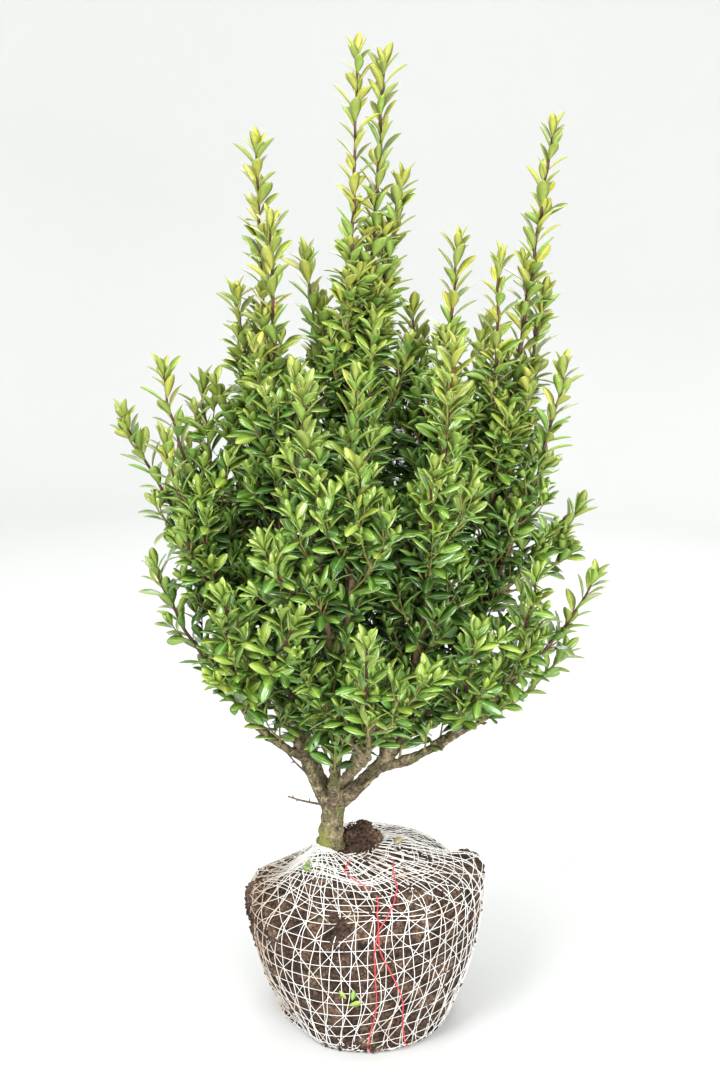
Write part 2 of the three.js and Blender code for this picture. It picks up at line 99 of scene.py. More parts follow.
def addNode(tree, kind, settings=None, links=None):
    node = tree.nodes.new(kind)
    for key, value in (settings or {}).items():
        if isinstance(key, int) or key in node.inputs:
            node.inputs[key].default_value = value
        else:
            setattr(node, key, value)
    for key, source in (links or {}).items():
        tree.links.new(source, node.inputs[key])
    return node


def newMaterial(name, settings):
    material = bpy.data.materials.new(name)
    material.use_nodes = True
    tree = material.node_tree
    tree.nodes.clear()
    shader = addNode(tree, "ShaderNodeBsdfPrincipled", settings)
    addNode(tree, "ShaderNodeOutputMaterial", links={"Surface": shader.outputs[0]})
    return material, tree, shader, addNode(tree, "ShaderNodeTexCoord").outputs["Object"]


def noiseAt(tree, place, grain, detail, **more):
    # grain is the size of one blotch, in millimetres
    settings = {"Scale": 1 / (grain * mm), "Detail": detail, **more}
    return addNode(tree, "ShaderNodeTexNoise", settings, {"Vector": place}).outputs[0]


def ranged(tree, value, low, high, toLow=0, toHigh=1):
    settings = {"From Min": low, "From Max": high, "To Min": toLow, "To Max": toHigh}
    return addNode(tree, "ShaderNodeMapRange", settings, {"Value": value}).outputs[0]


def combined(tree, operation, first, second):
    return addNode(tree, "ShaderNodeMath", {"operation": operation}, {0: first, 1: second}).outputs[0]


def blended(tree, share, first, second):
    # each colour is a hex code or a socket
    node = addNode(tree, "ShaderNodeMix", {"data_type": "RGBA"}, {0: share})
    for socket, colour in ((6, first), (7, second)):
        if isinstance(colour, str):
            node.inputs[socket].default_value = linearColour(colour)
        else:
            tree.links.new(colour, node.inputs[socket])
    return node.outputs[2]


def ramped(tree, value, low, middle, high):
    # each stop is a place and a colour
    node = addNode(tree, "ShaderNodeValToRGB", links={0: value})
    stops = node.color_ramp.elements
    for stop, (place, colour) in ((stops[0], low), (stops[1], high)):
        stop.position, stop.color = place, linearColour(colour)
    stops.new(middle[0]).color = linearColour(middle[1])
    return node.outputs[0]


def finishShader(tree, shader, colour, height=None, strength=0, distance=0):
    # the bump, where there is one, has its distance in millimetres
    tree.links.new(colour, shader.inputs["Base Color"])
    if height is not None:
        settings = {"Strength": strength, "Distance": distance * mm}
        bump = addNode(tree, "ShaderNodeBump", settings, {"Height": height})
        tree.links.new(bump.outputs[0], shader.inputs["Normal"])


def meshPiece(name, points, faces, materials):
    # points are in millimetres
    mesh = bpy.data.meshes.new(name)
    mesh.from_pydata((np.asarray(points) * mm).tolist(), [], faces)
    for material in materials:
        mesh.materials.append(material)
    mesh.polygons.foreach_set("use_smooth", [True] * len(mesh.polygons))
    piece = bpy.data.objects.new(name, mesh)
    bpy.context.scene.collection.objects.link(piece)
    return piece


def settled(piece, name):
    # the evaluated result as a plain mesh, with the modifiers gone
    evaluated = piece.evaluated_get(bpy.context.evaluated_depsgraph_get())
    result = bpy.data.meshes.new_from_object(evaluated)
    result.name = name
    plain = bpy.data.objects.new(name, result)
    bpy.context.scene.collection.objects.link(plain)
    bpy.data.objects.remove(piece)
    return plain


def addTree(piece, tree, inputs):
    # inputs are set by the sockets' identifiers before the piece is first evaluated
    modifier = piece.modifiers.new(tree.name, "NODES")
    modifier.node_group = tree
    for item in tree.interface.items_tree:
        if item.name in inputs and item.in_out == "INPUT":
            modifier[item.identifier] = inputs[item.name]


def newTree(name, sockets):
    tree = bpy.data.node_groups.new(name, "GeometryNodeTree")
    tree.interface.new_socket("Geometry", in_out="INPUT", socket_type="NodeSocketGeometry")
    tree.interface.new_socket("Geometry", in_out="OUTPUT", socket_type="NodeSocketGeometry")
    for socket, kind in sockets.items():
        tree.interface.new_socket(socket, in_out="INPUT", socket_type="NodeSocket" + kind)
    return tree, addNode(tree, "NodeGroupInput"), addNode(tree, "NodeGroupOutput")


def finishTree(tree, geometry, start, end):
    # ends a tree in real geometry with its material on
    real = addNode(tree, "GeometryNodeRealizeInstances", links={"Geometry": geometry})
    coat = addNode(tree, "GeometryNodeSetMaterial", links={
        "Geometry": real.outputs[0], "Material": start.outputs["Material"]})
    tree.links.new(coat.outputs[0], end.inputs["Geometry"])


# Camera, light and stage
view = {"place": (-0.013, -1.448, 0.947), "pitch": 16.09, "roll": 0.95, "lens": 50, "sensor": 36}


def makeCamera():
    data = bpy.data.cameras.new("photoCamera")
    data.lens = view["lens"]
    data.sensor_width = view["sensor"]
    data.clip_start = 0.05
    camera = bpy.data.objects.new("photoCamera", data)
    camera.location = view["place"]
    tip = Quaternion((1, 0, 0), math.radians(90 - view["pitch"]))
    camera.rotation_mode = "QUATERNION"
    camera.rotation_quaternion = tip @ Quaternion((0, 0, 1), math.radians(view["roll"]))
    bpy.context.scene.collection.objects.link(camera)
    bpy.context.scene.camera = camera


studio = {
    "floorRadius": 2.1, "sweep": 0.8, "top": 3.4, "sides": 96, "mottle": 667,
    "world": 0.7, "keyPower": 82, "fillPower": 68, "topPower": 38, "backPower": 20,
}


def areaLight(name, place, size, power):
    data = bpy.data.lights.new(name, "AREA")
    data.shape = "DISK"
    data.size = size
    data.energy = power
    light = bpy.data.objects.new(name, data)
    light.location = place
    aim = Vector((0, 0, 0.5)) - Vector(place)
    light.rotation_mode = "QUATERNION"
    light.rotation_quaternion = aim.to_track_quat("-Z", "Y")
    bpy.context.scene.collection.objects.link(light)


def makeStudio():
    # matt white paint, rolled: even, with no gloss
    look = {"Roughness": 0.9, "Specular IOR Level": 0.2}
    paint, tree, shader, place = newMaterial("rolledMattPaint", look)
    grain = noiseAt(tree, place, studio["mottle"], 2)
    finishShader(tree, shader, blended(tree, grain, "#C8C9C8", "#CCCDCC"))
    arc = [math.radians(a) for a in range(0, 91, 9)]
    radius, sweep = studio["floorRadius"], studio["sweep"]
    profile = [(radius + sweep * math.sin(a), sweep * (1 - math.cos(a))) for a in arc]
    profile.append((radius + sweep, studio["top"]))
    sides = studio["sides"]
    turns = np.linspace(0, 2 * math.pi, sides, False)
    points = [(0, 0, 0)]
    for r, z in profile:
        points += [(r * math.cos(t), r * math.sin(t), z) for t in turns]
    faces = [(0, 1 + i, 1 + (i + 1) % sides) for i in range(sides)]
    for row in range(len(profile) - 1):
        a, b = 1 + row * sides, 1 + (row + 1) * sides
        faces += [(a + i, b + i, b + (i + 1) % sides, a + (i + 1) % sides) for i in range(sides)]
    floor = meshPiece("studioFloor", np.array(points) / mm, faces, [paint])
    world = bpy.data.worlds.new("softStudio")
    world.use_nodes = True
    sky = world.node_tree.nodes["Background"].inputs
    sky["Color"].default_value = linearColour("#F6F7F7")
    sky["Strength"].default_value = studio["world"]
    bpy.context.scene.world = world
    areaLight("keyLight", (-1.4, -1.5, 2.3), 1.4, studio["keyPower"])
    areaLight("fillLight", (1.0, -2.0, 1.0), 1.6, studio["fillPower"])
    areaLight("topLight", (0, 0.2, 2.9), 2.0, studio["topPower"])
    areaLight("backLight", (0.4, 1.8, 1.8), 1.4, studio["backPower"])
    bpy.context.scene.view_settings.view_transform = "Standard"


makeCamera()
makeStudio()
print("camera and studio ready")


# Root ball: a lumpy block of field soil. The profile, the lumps and the tilt are the part's own:
# height as a share of the ball's, radius as a share of the shoulder's, shift towards the trunk.
ball = {
    "height": 195, "footRadius": 92, "shoulderRadius": 124, "skew": 11, "lump": 3,
    "rows": 104, "columns": 264, "coarse": 3.6, "middle": 1.7, "fine": 0.8, "sunk": 1.8,
    "crumbs": 3600, "crumbSize": 3.2, "looseFrom": 192, "looser": 7,
}
trunk = {
    "foot": vec(-38.5, -6, 195.35), "waist": vec(-37.5, -4, 216), "fork": vec(-34.5, 0, 256),
    "footRadius": 15, "waistRadius": 11.6, "forkRadius": 13, "flareFall": 7, "sunk": 9,
    "sides": 24, "steps": 26,
}
mound = {
    "x": -6, "y": 6, "z": 191, "across": 22, "deep": 19, "tall": 19, "rougher": 1.5, "proud": 2,
    "openLeft": 14, "openFront": 7, "openAcross": 1.35, "openDeep": 1.45, "openAbove": 170,
}
footShare = ball["footRadius"] / ball["shoulderRadius"]
ballProfile = np.array([
    (0, footShare, 0), (0.05, footShare + 0.04, 0), (0.2, footShare + 0.11, 0),
    (0.38, footShare + 0.18, 0), (0.58, 0.97, 0), (0.76, 1, 0), (0.85, 0.94, 0.04),
    (0.91, 0.81, 0.15), (0.955, 0.62, 0.35), (0.985, 0.4, 0.65), (1, 0.17, 1),
])
lastRow = len(ballProfile) - 1


# where the whole ball is dented or drawn out, netting and all: place, width, push
dents = [
    (vec(-100, 4, 182), 52, (3, 0, -27)),
    (vec(-84, 54, 180), 56, (1, -3, -29)),
    (vec(-60, 84, 178), 44, (0, -3, -25)),
    (vec(20, 84, 182), 60, (0, -5, -16)),
    (vec(84, 60, 176), 50, (0, -3, -24)),
    (vec(112, 10, 168), 26, (3, 0, 7)),
    (vec(-120, -20, 130), 24, (-3, 0, 2)),
    (vec(-110, 0, 60), 40, (6, 0, 0)),
    (vec(-70, -60, 6), 40, (5, 5, 0)),
]


def nearness(place, middle, width):
    # 1 at the middle, and next to nothing at twice the width
    gap = place - middle
    return math.exp(-float(gap.dot(gap)) / (0.6 * width * width))


def ballPoint(row, turn):
    # row runs from 0 at the foot to 10 at the top, with a smooth curve between the part's own rings
    low = min(int(row), lastRow - 1)
    t = row - low
    a, b = ballProfile[low], ballProfile[low + 1]
    before, after = ballProfile[max(low - 1, 0)], ballProfile[min(low + 2, lastRow)]
    cubic = 2 * before - 5 * a + 4 * b - after + t * (3 * a - before - 3 * b + after)
    bulge = 0.5 * t * (b - before + t * cubic)
    height, share, shift = mix(a, b, t) if low == 0 else a + bulge
    height = min(max(height, 0), 1)
    wide = math.sin(3 * turn + 0.7 * row) + 0.5 * math.cos(2 * turn + row)
    narrow = 0.7 * math.sin(5 * turn - 1.3 * row + 1)
    lumps = ball["lump"] * (wide + narrow) * smoothStep(row, 0, 1) * (1 - smoothStep(row, 9, 10))
    radius = share * ball["shoulderRadius"] + lumps
    tilt = 4 * height * (1 - height) * ball["skew"] * math.cos(turn)
    x = radius * math.cos(turn) + shift * trunk["foot"][0]
    y = radius * math.sin(turn) + shift * trunk["foot"][1]
    place = vec(x, y, height * ball["height"] + tilt)
    for middle, width, push in dents:
        place += np.array(push) * nearness(place, middle, width)
    return place


def ballNormal(row, turn):
    step = 0.04
    upward = ballPoint(min(row + step, lastRow), turn) - ballPoint(max(row - step, 0), turn)
    around = ballPoint(row, turn + step) - ballPoint(row, turn - step)
    return unit(np.cross(around, upward))


def rumple(place, size, seed):
    return noise.noise(Vector(place) / size + Vector((seed, seed * 0.7, -seed)))


# where soil has pushed out through the netting, and where a clod has dropped out: place, width, lift
clods = [
    (vec(-116, -22, 138), 30, 5.5),
    (vec(-104, -46, 112), 22, 3.5),
    (vec(112, 26, 160), 17, 6),
    (vec(106, -30, 92), 18, 3),
    (vec(68, -96, 144), 13, -9),
    (vec(-30, -112, 150), 26, 2.5),
    (vec(30, -110, 168), 24, 2.5),
    (vec(-10, -96, 20), 22, 3),
]


def soilRelief(place):
    coarse = rumple(place, 24, 3) * ball["coarse"] + rumple(place, 11, 9) * ball["middle"]
    for middle, width, lift in clods:
        coarse += lift * nearness(place, middle, width)
    crumbly = abs(rumple(place, 6, 5)) * ball["middle"] + rumple(place, 2.9, 7) * ball["fine"]
    return coarse + crumbly - ball["sunk"]


def soilMaterial():
    # moist field loam, cut and crumbled: matt, with painted shade in the crevices between crumbs and pale
    # dry crumbs
    look = {"Roughness": 0.95, "Specular IOR Level": 0.25}
    material, tree, shader, place = newMaterial("moistCrumbledLoam", look)
    cloddy = noiseAt(tree, place, 22, 6, Roughness=0.68)
    base = ramped(tree, cloddy, (0.3, "#261A12"), (0.5, "#4F392A"), (0.72, "#8A6C51"))
    crumbs = addNode(tree, "ShaderNodeTexVoronoi", {"Scale": 1 / (3.2 * mm)}, {"Vector": place})
    pick = addNode(tree, "ShaderNodeSeparateColor", links={0: crumbs.outputs["Color"]})
    bright = ranged(tree, pick.outputs[0], 0, 1, 0.8, 1.75)
    # painted shade: each crumb darkens towards its edge, where the crevices between crumbs would lie in
    # shade
    paintedCreviceShade = ranged(tree, crumbs.outputs["Distance"], 0.35, 0.7, 1, 0.35)
    level = combined(tree, "MULTIPLY", bright, paintedCreviceShade)
    # dry carries the crumbs' own random brightness and the painted crevice shade
    dry = addNode(tree, "ShaderNodeHueSaturation", {"Saturation": 0.85}, {"Color": base, "Value": level})
    grit = noiseAt(tree, place, 2.2, 5, Roughness=0.7)
    finishShader(tree, shader, dry.outputs[0], grit, 1, 2.2)
    return material


def crumbTree():
    # crumbs of soil lie all over the ball, more of them on top
    sockets = {"Lump": "Object", "Count": "Float", "Size": "Float", "Material": "Material"}
    tree, start, end = newTree("soilCrumbs", sockets)
    place = addNode(tree, "GeometryNodeInputPosition").outputs[0]
    axes = addNode(tree, "ShaderNodeSeparateXYZ", links={0: place})
    top = ball["looseFrom"] * mm
    loose = ranged(tree, axes.outputs["Z"], top - 0.004, top, 1, ball["looser"])
    density = combined(tree, "MULTIPLY", loose, start.outputs["Count"])
    spots = addNode(tree, "GeometryNodeDistributePointsOnFaces", {"Seed": 4},
                    {"Mesh": start.outputs["Geometry"], "Density": density})
    lump = addNode(tree, "GeometryNodeObjectInfo", links={"Object": start.outputs["Lump"]})
    anyWay = {"data_type": "FLOAT_VECTOR", 1: (6.3, 6.3, 6.3), "Seed": 2}
    turn = addNode(tree, "FunctionNodeRandomValue", anyWay)
    size = addNode(tree, "FunctionNodeRandomValue", {"data_type": "FLOAT", 2: 0.2, 3: 1.0, "Seed": 3})
    scale = combined(tree, "MULTIPLY", size.outputs[1], start.outputs["Size"])
    placed = addNode(tree, "GeometryNodeInstanceOnPoints", links={
        "Points": spots.outputs["Points"], "Instance": lump.outputs["Geometry"],
        "Rotation": turn.outputs[0], "Scale": scale})
    both = addNode(tree, "GeometryNodeJoinGeometry", links={"Geometry": placed.outputs[0]})
    tree.links.new(start.outputs["Geometry"], both.inputs["Geometry"])
    finishTree(tree, both.outputs[0], start, end)
    return tree


def lumpObject():
    # one crumb: a small block knocked out of true
    dice = random.Random(8)
    bpy.ops.mesh.primitive_ico_sphere_add(subdivisions=1, radius=1)
    lump = bpy.context.object
    for vertex in lump.data.vertices:
        vertex.co *= 0.75 + 0.5 * dice.random()
        vertex.co.z *= 0.7
    return lump


def ballPiece(loam):
    rows, columns = ball["rows"], ball["columns"]
    turns = np.linspace(0, 2 * math.pi, columns, False)
    points = []
    for row in np.linspace(0, lastRow, rows):
        for turn in turns:
            place = ballPoint(row, turn)
            lift = soilRelief(place) * smoothStep(row, 0, 0.35)
            points.append(place + ballNormal(row, turn) * lift)
            points[-1][2] = max(points[-1][2], 0)
    faces = []
    for row in range(rows - 1):
        a, b = row * columns, (row + 1) * columns
        faces += [(a + i, a + (i + 1) % columns, b + (i + 1) % columns, b + i) for i in range(columns)]
    faces.append(list(range(columns - 1, -1, -1)))
    faces.append([(rows - 1) * columns + i for i in range(columns)])
    return meshPiece("looseSoil", points, faces, [loam])


def moundPiece(loam):
    bpy.ops.mesh.primitive_ico_sphere_add(subdivisions=6, radius=1)
    heap = bpy.context.object
    for vertex in heap.data.vertices:
        x, y, z = vertex.co
        lump = 1 + 0.09 * math.sin(5 * x + 3 * y) + 0.07 * math.cos(6 * y + 4 * z)
        place = vec(x * lump * mound["across"], y * lump * mound["deep"], z * lump * mound["tall"])
        place += unit(place) * (soilRelief(place * 1.3) * mound["rougher"] + mound["proud"])
        vertex.co = Vector(place + vec(mound["x"], mound["y"], mound["z"])) * mm
    heap.data.materials.append(loam)
    return heap


def makeSoil():
    loam = soilMaterial()
    soil, heap = ballPiece(loam), moundPiece(loam)
    bpy.ops.object.select_all(action="DESELECT")
    heap.select_set(True)
    soil.select_set(True)
    bpy.context.view_layer.objects.active = soil
    bpy.ops.object.join()
    lump = lumpObject()
    area = sum(face.area for face in soil.data.polygons)
    addTree(soil, crumbTree(), {
        "Lump": lump, "Count": ball["crumbs"] / area, "Size": ball["crumbSize"] * mm, "Material": loam})
    soil = settled(soil, "rootBallSoil")
    bpy.data.objects.remove(lump)
    for vertex in soil.data.vertices:
        vertex.co.z = max(vertex.co.z, 0)
    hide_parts("root_ball", "soil_mound")
    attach(soil, "root")


makeSoil()
print("root ball done")


# Wood: trunk and boughs with the same feet, tips and bows as the part's own
boughs = [
    ("bough_right", (-31, 0, 238), (62, 8, 346), (8.6, 5.8), 0.05),
    ("bough_left", (-43, -1, 236), (-92, 2, 356), (7.4, 5.6), 0.05),
    ("bough_centre", (-36, 8, 244), (-31, 20, 392), (6.4, 5.6), 0),
    ("bough_front", (-36, -8, 240), (-32, -60, 356), (6, 5.2), 0.06),
    ("bough_back", (-31, 8, 240), (14, 66, 360), (6, 5.2), 0.08),
    ("bough_back_left", (-41, 7, 240), (-84, 62, 350), (5.8, 5.2), 0.08),
    ("bough_left_low", (-66, 0, 290), (-116, -28, 340), (5, 4.6), 0.08),
    ("bough_left_up", (-71, 1, 302), (-84, 10, 400), (5.4, 5), 0.02),
    ("bough_right_low", (3, 2, 276), (76, -16, 318), (5.2, 4.8), 0.06),
    ("bough_right_up", (14, 4, 286), (40, -24, 384), (5.4, 5), 0.04),
    ("bough_front_low", (-35, -24, 274), (-6, -92, 332), (5, 4.8), 0.08),
    ("bough_back_low", (-14.5, 28.5, 277), (44, 92, 336), (5, 4.8), 0.08),
]
deadTwigs = [
    ("dead_twig_low", (-42, -3, 238), (-84, -16, 254)),
    ("dead_twig_left", (-57, -1, 267), (-84, -16, 302)),
    ("dead_twig_right", (-16, -1, 253), (16, -18, 292)),
]
# each mass: its bough, the tip of its leading shoot and the tips of its forks
masses = [
    ("foliage_top_left", "bough_centre", (-23, 2, 990), [(-70, 40, 802)]),
    ("foliage_top_right", "bough_centre", (2, 12, 982), [(8, 56, 796), (20, 22, 876)]),
    ("foliage_centre", "bough_centre", (-6, -26, 690), [(-40, 70, 640)]),
    ("foliage_left_tall", "bough_left_up", (-118, 30, 904), [(-136, 6, 768)]),
    ("foliage_left_leader", "bough_left_up", (-101, -22, 836), [(-76, -64, 700)]),
    ("foliage_right_leader", "bough_right_up", (74, 2, 818), [(36, 44, 750)]),
    ("foliage_right_tall", "bough_right", (160, 2, 924), [(114, -20, 806), (160, 14, 770)]),
    ("foliage_right_side", "bough_right", (181, -18, 704), [(204, 24, 556)]),
    ("foliage_left_outer", "bough_left", (-208, 2, 692), [(-244, 2, 648), (-172, 26, 676)]),
    ("foliage_left_side", "bough_left", (-204, -32, 632), [(-186, -36, 540)]),
    ("foliage_left_low", "bough_left_low", (-218, -4, 496), [(-160, -10, 392)]),
    ("foliage_front_left_low", "bough_left_low", (-140, -112, 500), [(-72, -146, 490), (-120, -92, 400)]),
    ("foliage_right_low", "bough_right_low", (198, 6, 410), [(126, 20, 350)]),
    ("foliage_right_mid", "bough_right_low", (222, -9, 492), [(156, -86, 518)]),
    ("foliage_front_right_low", "bough_right_low", (96, -118, 470), [(104, -70, 380)]),
    ("foliage_front_left", "bough_front", (-66, -118, 696), [(-100, -140, 560)]),
    ("foliage_front_centre", "bough_front", (-20, -78, 700), [(-14, -136, 630)]),
    ("foliage_front_right", "bough_right_up", (70, -92, 732), [(52, -132, 630)]),
    ("foliage_front_low", "bough_front_low", (-6, -180, 480), [(50, -150, 440)]),
    ("foliage_front_low_left", "bough_front_low", (-66, -124, 440), [(-44, -70, 372)]),
    ("foliage_back_centre", "bough_back", (-4, 122, 742), [(-40, 150, 600)]),
    ("foliage_back_right", "bough_back", (112, 112, 724), [(164, 92, 590)]),
    ("foliage_back_left", "bough_back_left", (-138, 112, 698), [(-190, 92, 550)]),
    ("foliage_back_low_left", "bough_back_left", (-92, 172, 510), [(-160, 120, 440), (-100, 110, 390)]),
    ("foliage_back_low_right", "bough_back_low", (44, 180, 490), [(142, 134, 460)]),
    ("foliage_back_low", "bough_back_low", (-26, 140, 440), [(10, 90, 400)]),
]
stem = {
    "footRadius": 2.2, "clearance": 0.35, "straight": 0.14, "upturn": 0.36, "rise": 0.83,
    "rootedBy": 12, "woodyLength": 70, "thickness": 4.1, "tipThickness": 1.1, "wander": 1.5,
    "weakest": 0.55, "lengths": (140, 340), "greenBelow": 470,
    "bareShare": 0.06, "oldShare": 0.35,
    "forkAt": 0.3, "forkApart": 0.1, "forkThickness": 2.5, "forkBareShare": 0.12,
}
bark = {"voxel": 1.2, "ridge": 1.3, "grain": 0.6, "knot": 4.4, "trim": 0.6, "shootRadius": 4.2}


def bezier(controls, count=41):
    controls = [np.asarray(c, dtype=float) for c in controls]
    degree = len(controls) - 1
    shares = np.linspace(0, 1, count)[:, None]
    line = 0
    for i, control in enumerate(controls):
        line = line + math.comb(degree, i) * shares ** i * (1 - shares) ** (degree - i) * control
    return evenly(line, count)


def evenly(line, count):
    steps = np.concatenate([[0], np.cumsum(np.linalg.norm(np.diff(line, axis=0), axis=1))])
    wanted = np.linspace(0, steps[-1], count)
    return np.stack([np.interp(wanted, steps, line[:, k]) for k in range(3)], axis=1)


def lineLength(line):
    return float(np.linalg.norm(np.diff(line, axis=0), axis=1).sum())


def alongLine(line, share):
    spot = min(max(share, 0), 1) * (len(line) - 1)
    low = min(int(spot), len(line) - 2)
    return mix(line[low], line[low + 1], spot - low), unit(line[low + 1] - line[low])


def sideOf(direction, turn):
    first = vec(1, 0, 0) if abs(direction[2]) > 0.95 else up
    across = unit(np.cross(first, direction))
    over = np.cross(direction, across)
    return across * math.cos(turn) + over * math.sin(turn)


def tube(line, radii, sides, points, faces):
    # a closed tube with flat ends, added to the lists
    start = len(points)
    side = sideOf(unit(line[1] - line[0]), 0)
    for i, place in enumerate(line):
        direction = unit(line[min(i + 1, len(line) - 1)] - line[max(i - 1, 0)])
        side = unit(side - direction * side.dot(direction))
        over = np.cross(direction, side)
        for k in range(sides):
            turn = 2 * math.pi * k / sides
            points.append(place + (side * math.cos(turn) + over * math.sin(turn)) * radii[i])
    for i in range(len(line) - 1):
        a, b = start + i * sides, start + (i + 1) * sides
        faces += [(a + k, a + (k + 1) % sides, b + (k + 1) % sides, b + k) for k in range(sides)]
    faces.append(tuple(start + k for k in range(sides - 1, -1, -1)))
    last = start + (len(line) - 1) * sides
    faces.append(tuple(last + k for k in range(sides)))


def boughLine(foot, tip, bow):
    foot, tip = np.array(foot, float), np.array(tip, float)
    out = vec(tip[0] - foot[0], tip[1] - foot[1], 0)
    bend = (foot + tip) / 2 + out * bow - up * bow * np.linalg.norm(out)
    return bezier([foot, bend, tip])


boughLines = {name: boughLine(foot, tip, bow) for name, foot, tip, _, bow in boughs}


def shootLine(start, away, tip):
    # a shoot sets off along its parent and turns up towards its tip
    reach = float(np.linalg.norm(tip - start))
    aim = unit(unit(tip - start) + up * stem["rise"])
    return bezier([start, start + away * reach * stem["straight"], tip - aim * reach * stem["upturn"], tip])


def stemStart(mass, parentTip, away):
    # masses that share a bough's tip stand round it in the order in which they spread
    sharers = [other for other in masses if other[1] == mass[1]]
    headings = {other[0]: unit(np.array(other[2], float) - parentTip) for other in sharers}
    mean = sum(headings.values()) / len(sharers)

    def bearing(other):
        spread = headings[other[0]] - mean
        return math.atan2(spread.dot(sideOf(away, math.pi / 2)), spread.dot(sideOf(away, 0)))
    sharers.sort(key=bearing)
    turn = bearing(sharers[0]) + 2 * math.pi * sharers.index(mass) / len(sharers)
    offset = (stem["footRadius"] + stem["clearance"]) / math.sin(math.pi / max(len(sharers), 2))
    return parentTip + away * stem["clearance"] + sideOf(away, turn) * offset


def wandering(line, seed, amount=stem["wander"]):
    # a shoot sways a little from side to side as it grows
    length = lineLength(line)
    moved = line.copy()
    for i, place in enumerate(line):
        fade = min(1, 4 * i / len(line)) * amount * min(1, length / 120)
        spot = Vector((seed * 3.7, i * length / len(line) / 26, 0))
        moved[i] = place + vec(noise.noise(spot), noise.noise(spot + Vector((9, 0, 4))), 0) * fade * 2
    return moved


def growShoots():
    shoots = []
    for number, mass in enumerate(masses):
        parent = boughLines[mass[1]]
        away = unit(parent[-1] - parent[-2])
        start = stemStart(mass, parent[-1], away)
        tip = np.array(mass[2], float)
        leader = wandering(shootLine(start, away, tip), number)
        vigour = mix(stem["weakest"], 1, smoothStep(lineLength(leader), *stem["lengths"]))
        shoots.append({
            "mass": number, "kind": "leader", "line": leader, "thick": stem["thickness"] * vigour,
            "bareShare": stem["bareShare"], "root": start - away * stem["rootedBy"]})
        for i, forkTip in enumerate(mass[3]):
            place, direction = alongLine(leader, stem["forkAt"] + stem["forkApart"] * i)
            fork = wandering(shootLine(place, direction, np.array(forkTip, float)), number + 40 + i)
            shoots.append({
                "mass": number, "kind": "fork", "line": fork, "thick": stem["forkThickness"],
                "bareShare": stem["forkBareShare"], "root": place - direction * 3})
    return shoots


def barkMaterial():
    # thin holly bark, grown smooth: matt grey-beige with lenticels, and green where algae hold the damp
    look = {"Roughness": 0.82, "Specular IOR Level": 0.35}
    material, tree, shader, place = newMaterial("livingHollyBark", look)
    patches = noiseAt(tree, place, 9, 6, Roughness=0.7)
    wood = ramped(tree, patches, (0.32, "#372E25"), (0.5, "#6B5F48"), (0.68, "#A39574"))
    damp = noiseAt(tree, place, 30, 6, Roughness=0.7, Distortion=0.6)
    green = blended(tree, ranged(tree, damp, 0.5, 0.64), wood, "#5C6031")
    spots = addNode(tree, "ShaderNodeTexVoronoi", {"Scale": 1 / (5 * mm)}, {"Vector": place})
    lenticel = ranged(tree, spots.outputs["Distance"], 0.1, 0.2, 0.7, 0)
    fissure = noiseAt(tree, place, 3, 4)
    crack = ranged(tree, fissure, 0.36, 0.5, 0.9, 0)
    dark = blended(tree, crack, blended(tree, lenticel, green, "#B3A682"), "#33291F")
    axes = addNode(tree, "ShaderNodeSeparateXYZ", links={0: place})
    low = ranged(tree, axes.outputs["Z"], 224 * mm, 202 * mm)
    left = ranged(tree, axes.outputs["X"], -34 * mm, -47 * mm, 0, 0.8)
    mossy = blended(tree, combined(tree, "MULTIPLY", low, left), dark, "#7D8237")
    finishShader(tree, shader, mossy, fissure, 0.9, 0.9)
    return material


def trunkRadii(line):
    # the flare at the foot, the waist, the swelling at the fork and a narrowed end inside it
    foot, fork, radii = trunk["foot"][2], trunk["fork"][2], []
    for place in line:
        share = (place[2] - foot) / (fork - foot)
        flare = trunk["footRadius"] - trunk["waistRadius"]
        swelling = trunk["forkRadius"] - trunk["waistRadius"]
        radius = trunk["waistRadius"] + flare * math.exp(-trunk["flareFall"] * max(share, -0.05))
        radius += swelling * smoothStep(share, 0.35, 0.8)
        radii.append(radius * (1 - 0.75 * smoothStep(share, 0.86, 1.06)))
    return radii


def makeWood(shoots):
    points, faces = [], []
    foot, waist, fork = trunk["foot"] - up * trunk["sunk"], trunk["waist"], trunk["fork"]
    line = bezier([foot, 2 * waist - (foot + fork) / 2, fork + up * 3], trunk["steps"])
    tube(line, trunkRadii(line), trunk["sides"], points, faces)
    for name, _, _, (footRadius, tipRadius), _ in boughs:
        line = boughLines[name]
        radii = [mix(footRadius, tipRadius, i / (len(line) - 1)) for i in range(len(line))]
        radii[-1] *= 0.75
        tube(line, radii, 14, points, faces)
    for shoot in shoots:
        if shoot["kind"] == "leader":
            share = stem["woodyLength"] / lineLength(shoot["line"])
            part = np.array([alongLine(shoot["line"], share * i / 9)[0] for i in range(10)])
            line = evenly(np.vstack([shoot["root"][None], part]), 12)
            radii = np.linspace(bark["shootRadius"], stemRadius(shoot, share), 12)
            tube(line, radii, 10, points, faces)
    raw = meshPiece("rawWood", points, faces, [])
    fuse = raw.modifiers.new("fuse", "REMESH")
    fuse.mode = "VOXEL"
    fuse.voxel_size = bark["voxel"] * mm
    ease = raw.modifiers.new("ease", "SMOOTH")
    ease.factor, ease.iterations = 0.5, 3
    wood = settled(raw, "barkedWood")
    mesh = wood.data
    normals = np.zeros(len(mesh.vertices) * 3)
    mesh.vertex_normals.foreach_get("vector", normals)
    for vertex, normal in zip(mesh.vertices, normals.reshape(-1, 3)):
        vertex.co += Vector(normal) * barkRelief(vertex.co / mm) * mm
    mesh.polygons.foreach_set("use_smooth", [True] * len(mesh.polygons))
    mesh.materials.append(barkMaterial())
    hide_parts("trunk", *[name for name, *_ in boughs])
    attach(wood, "root")


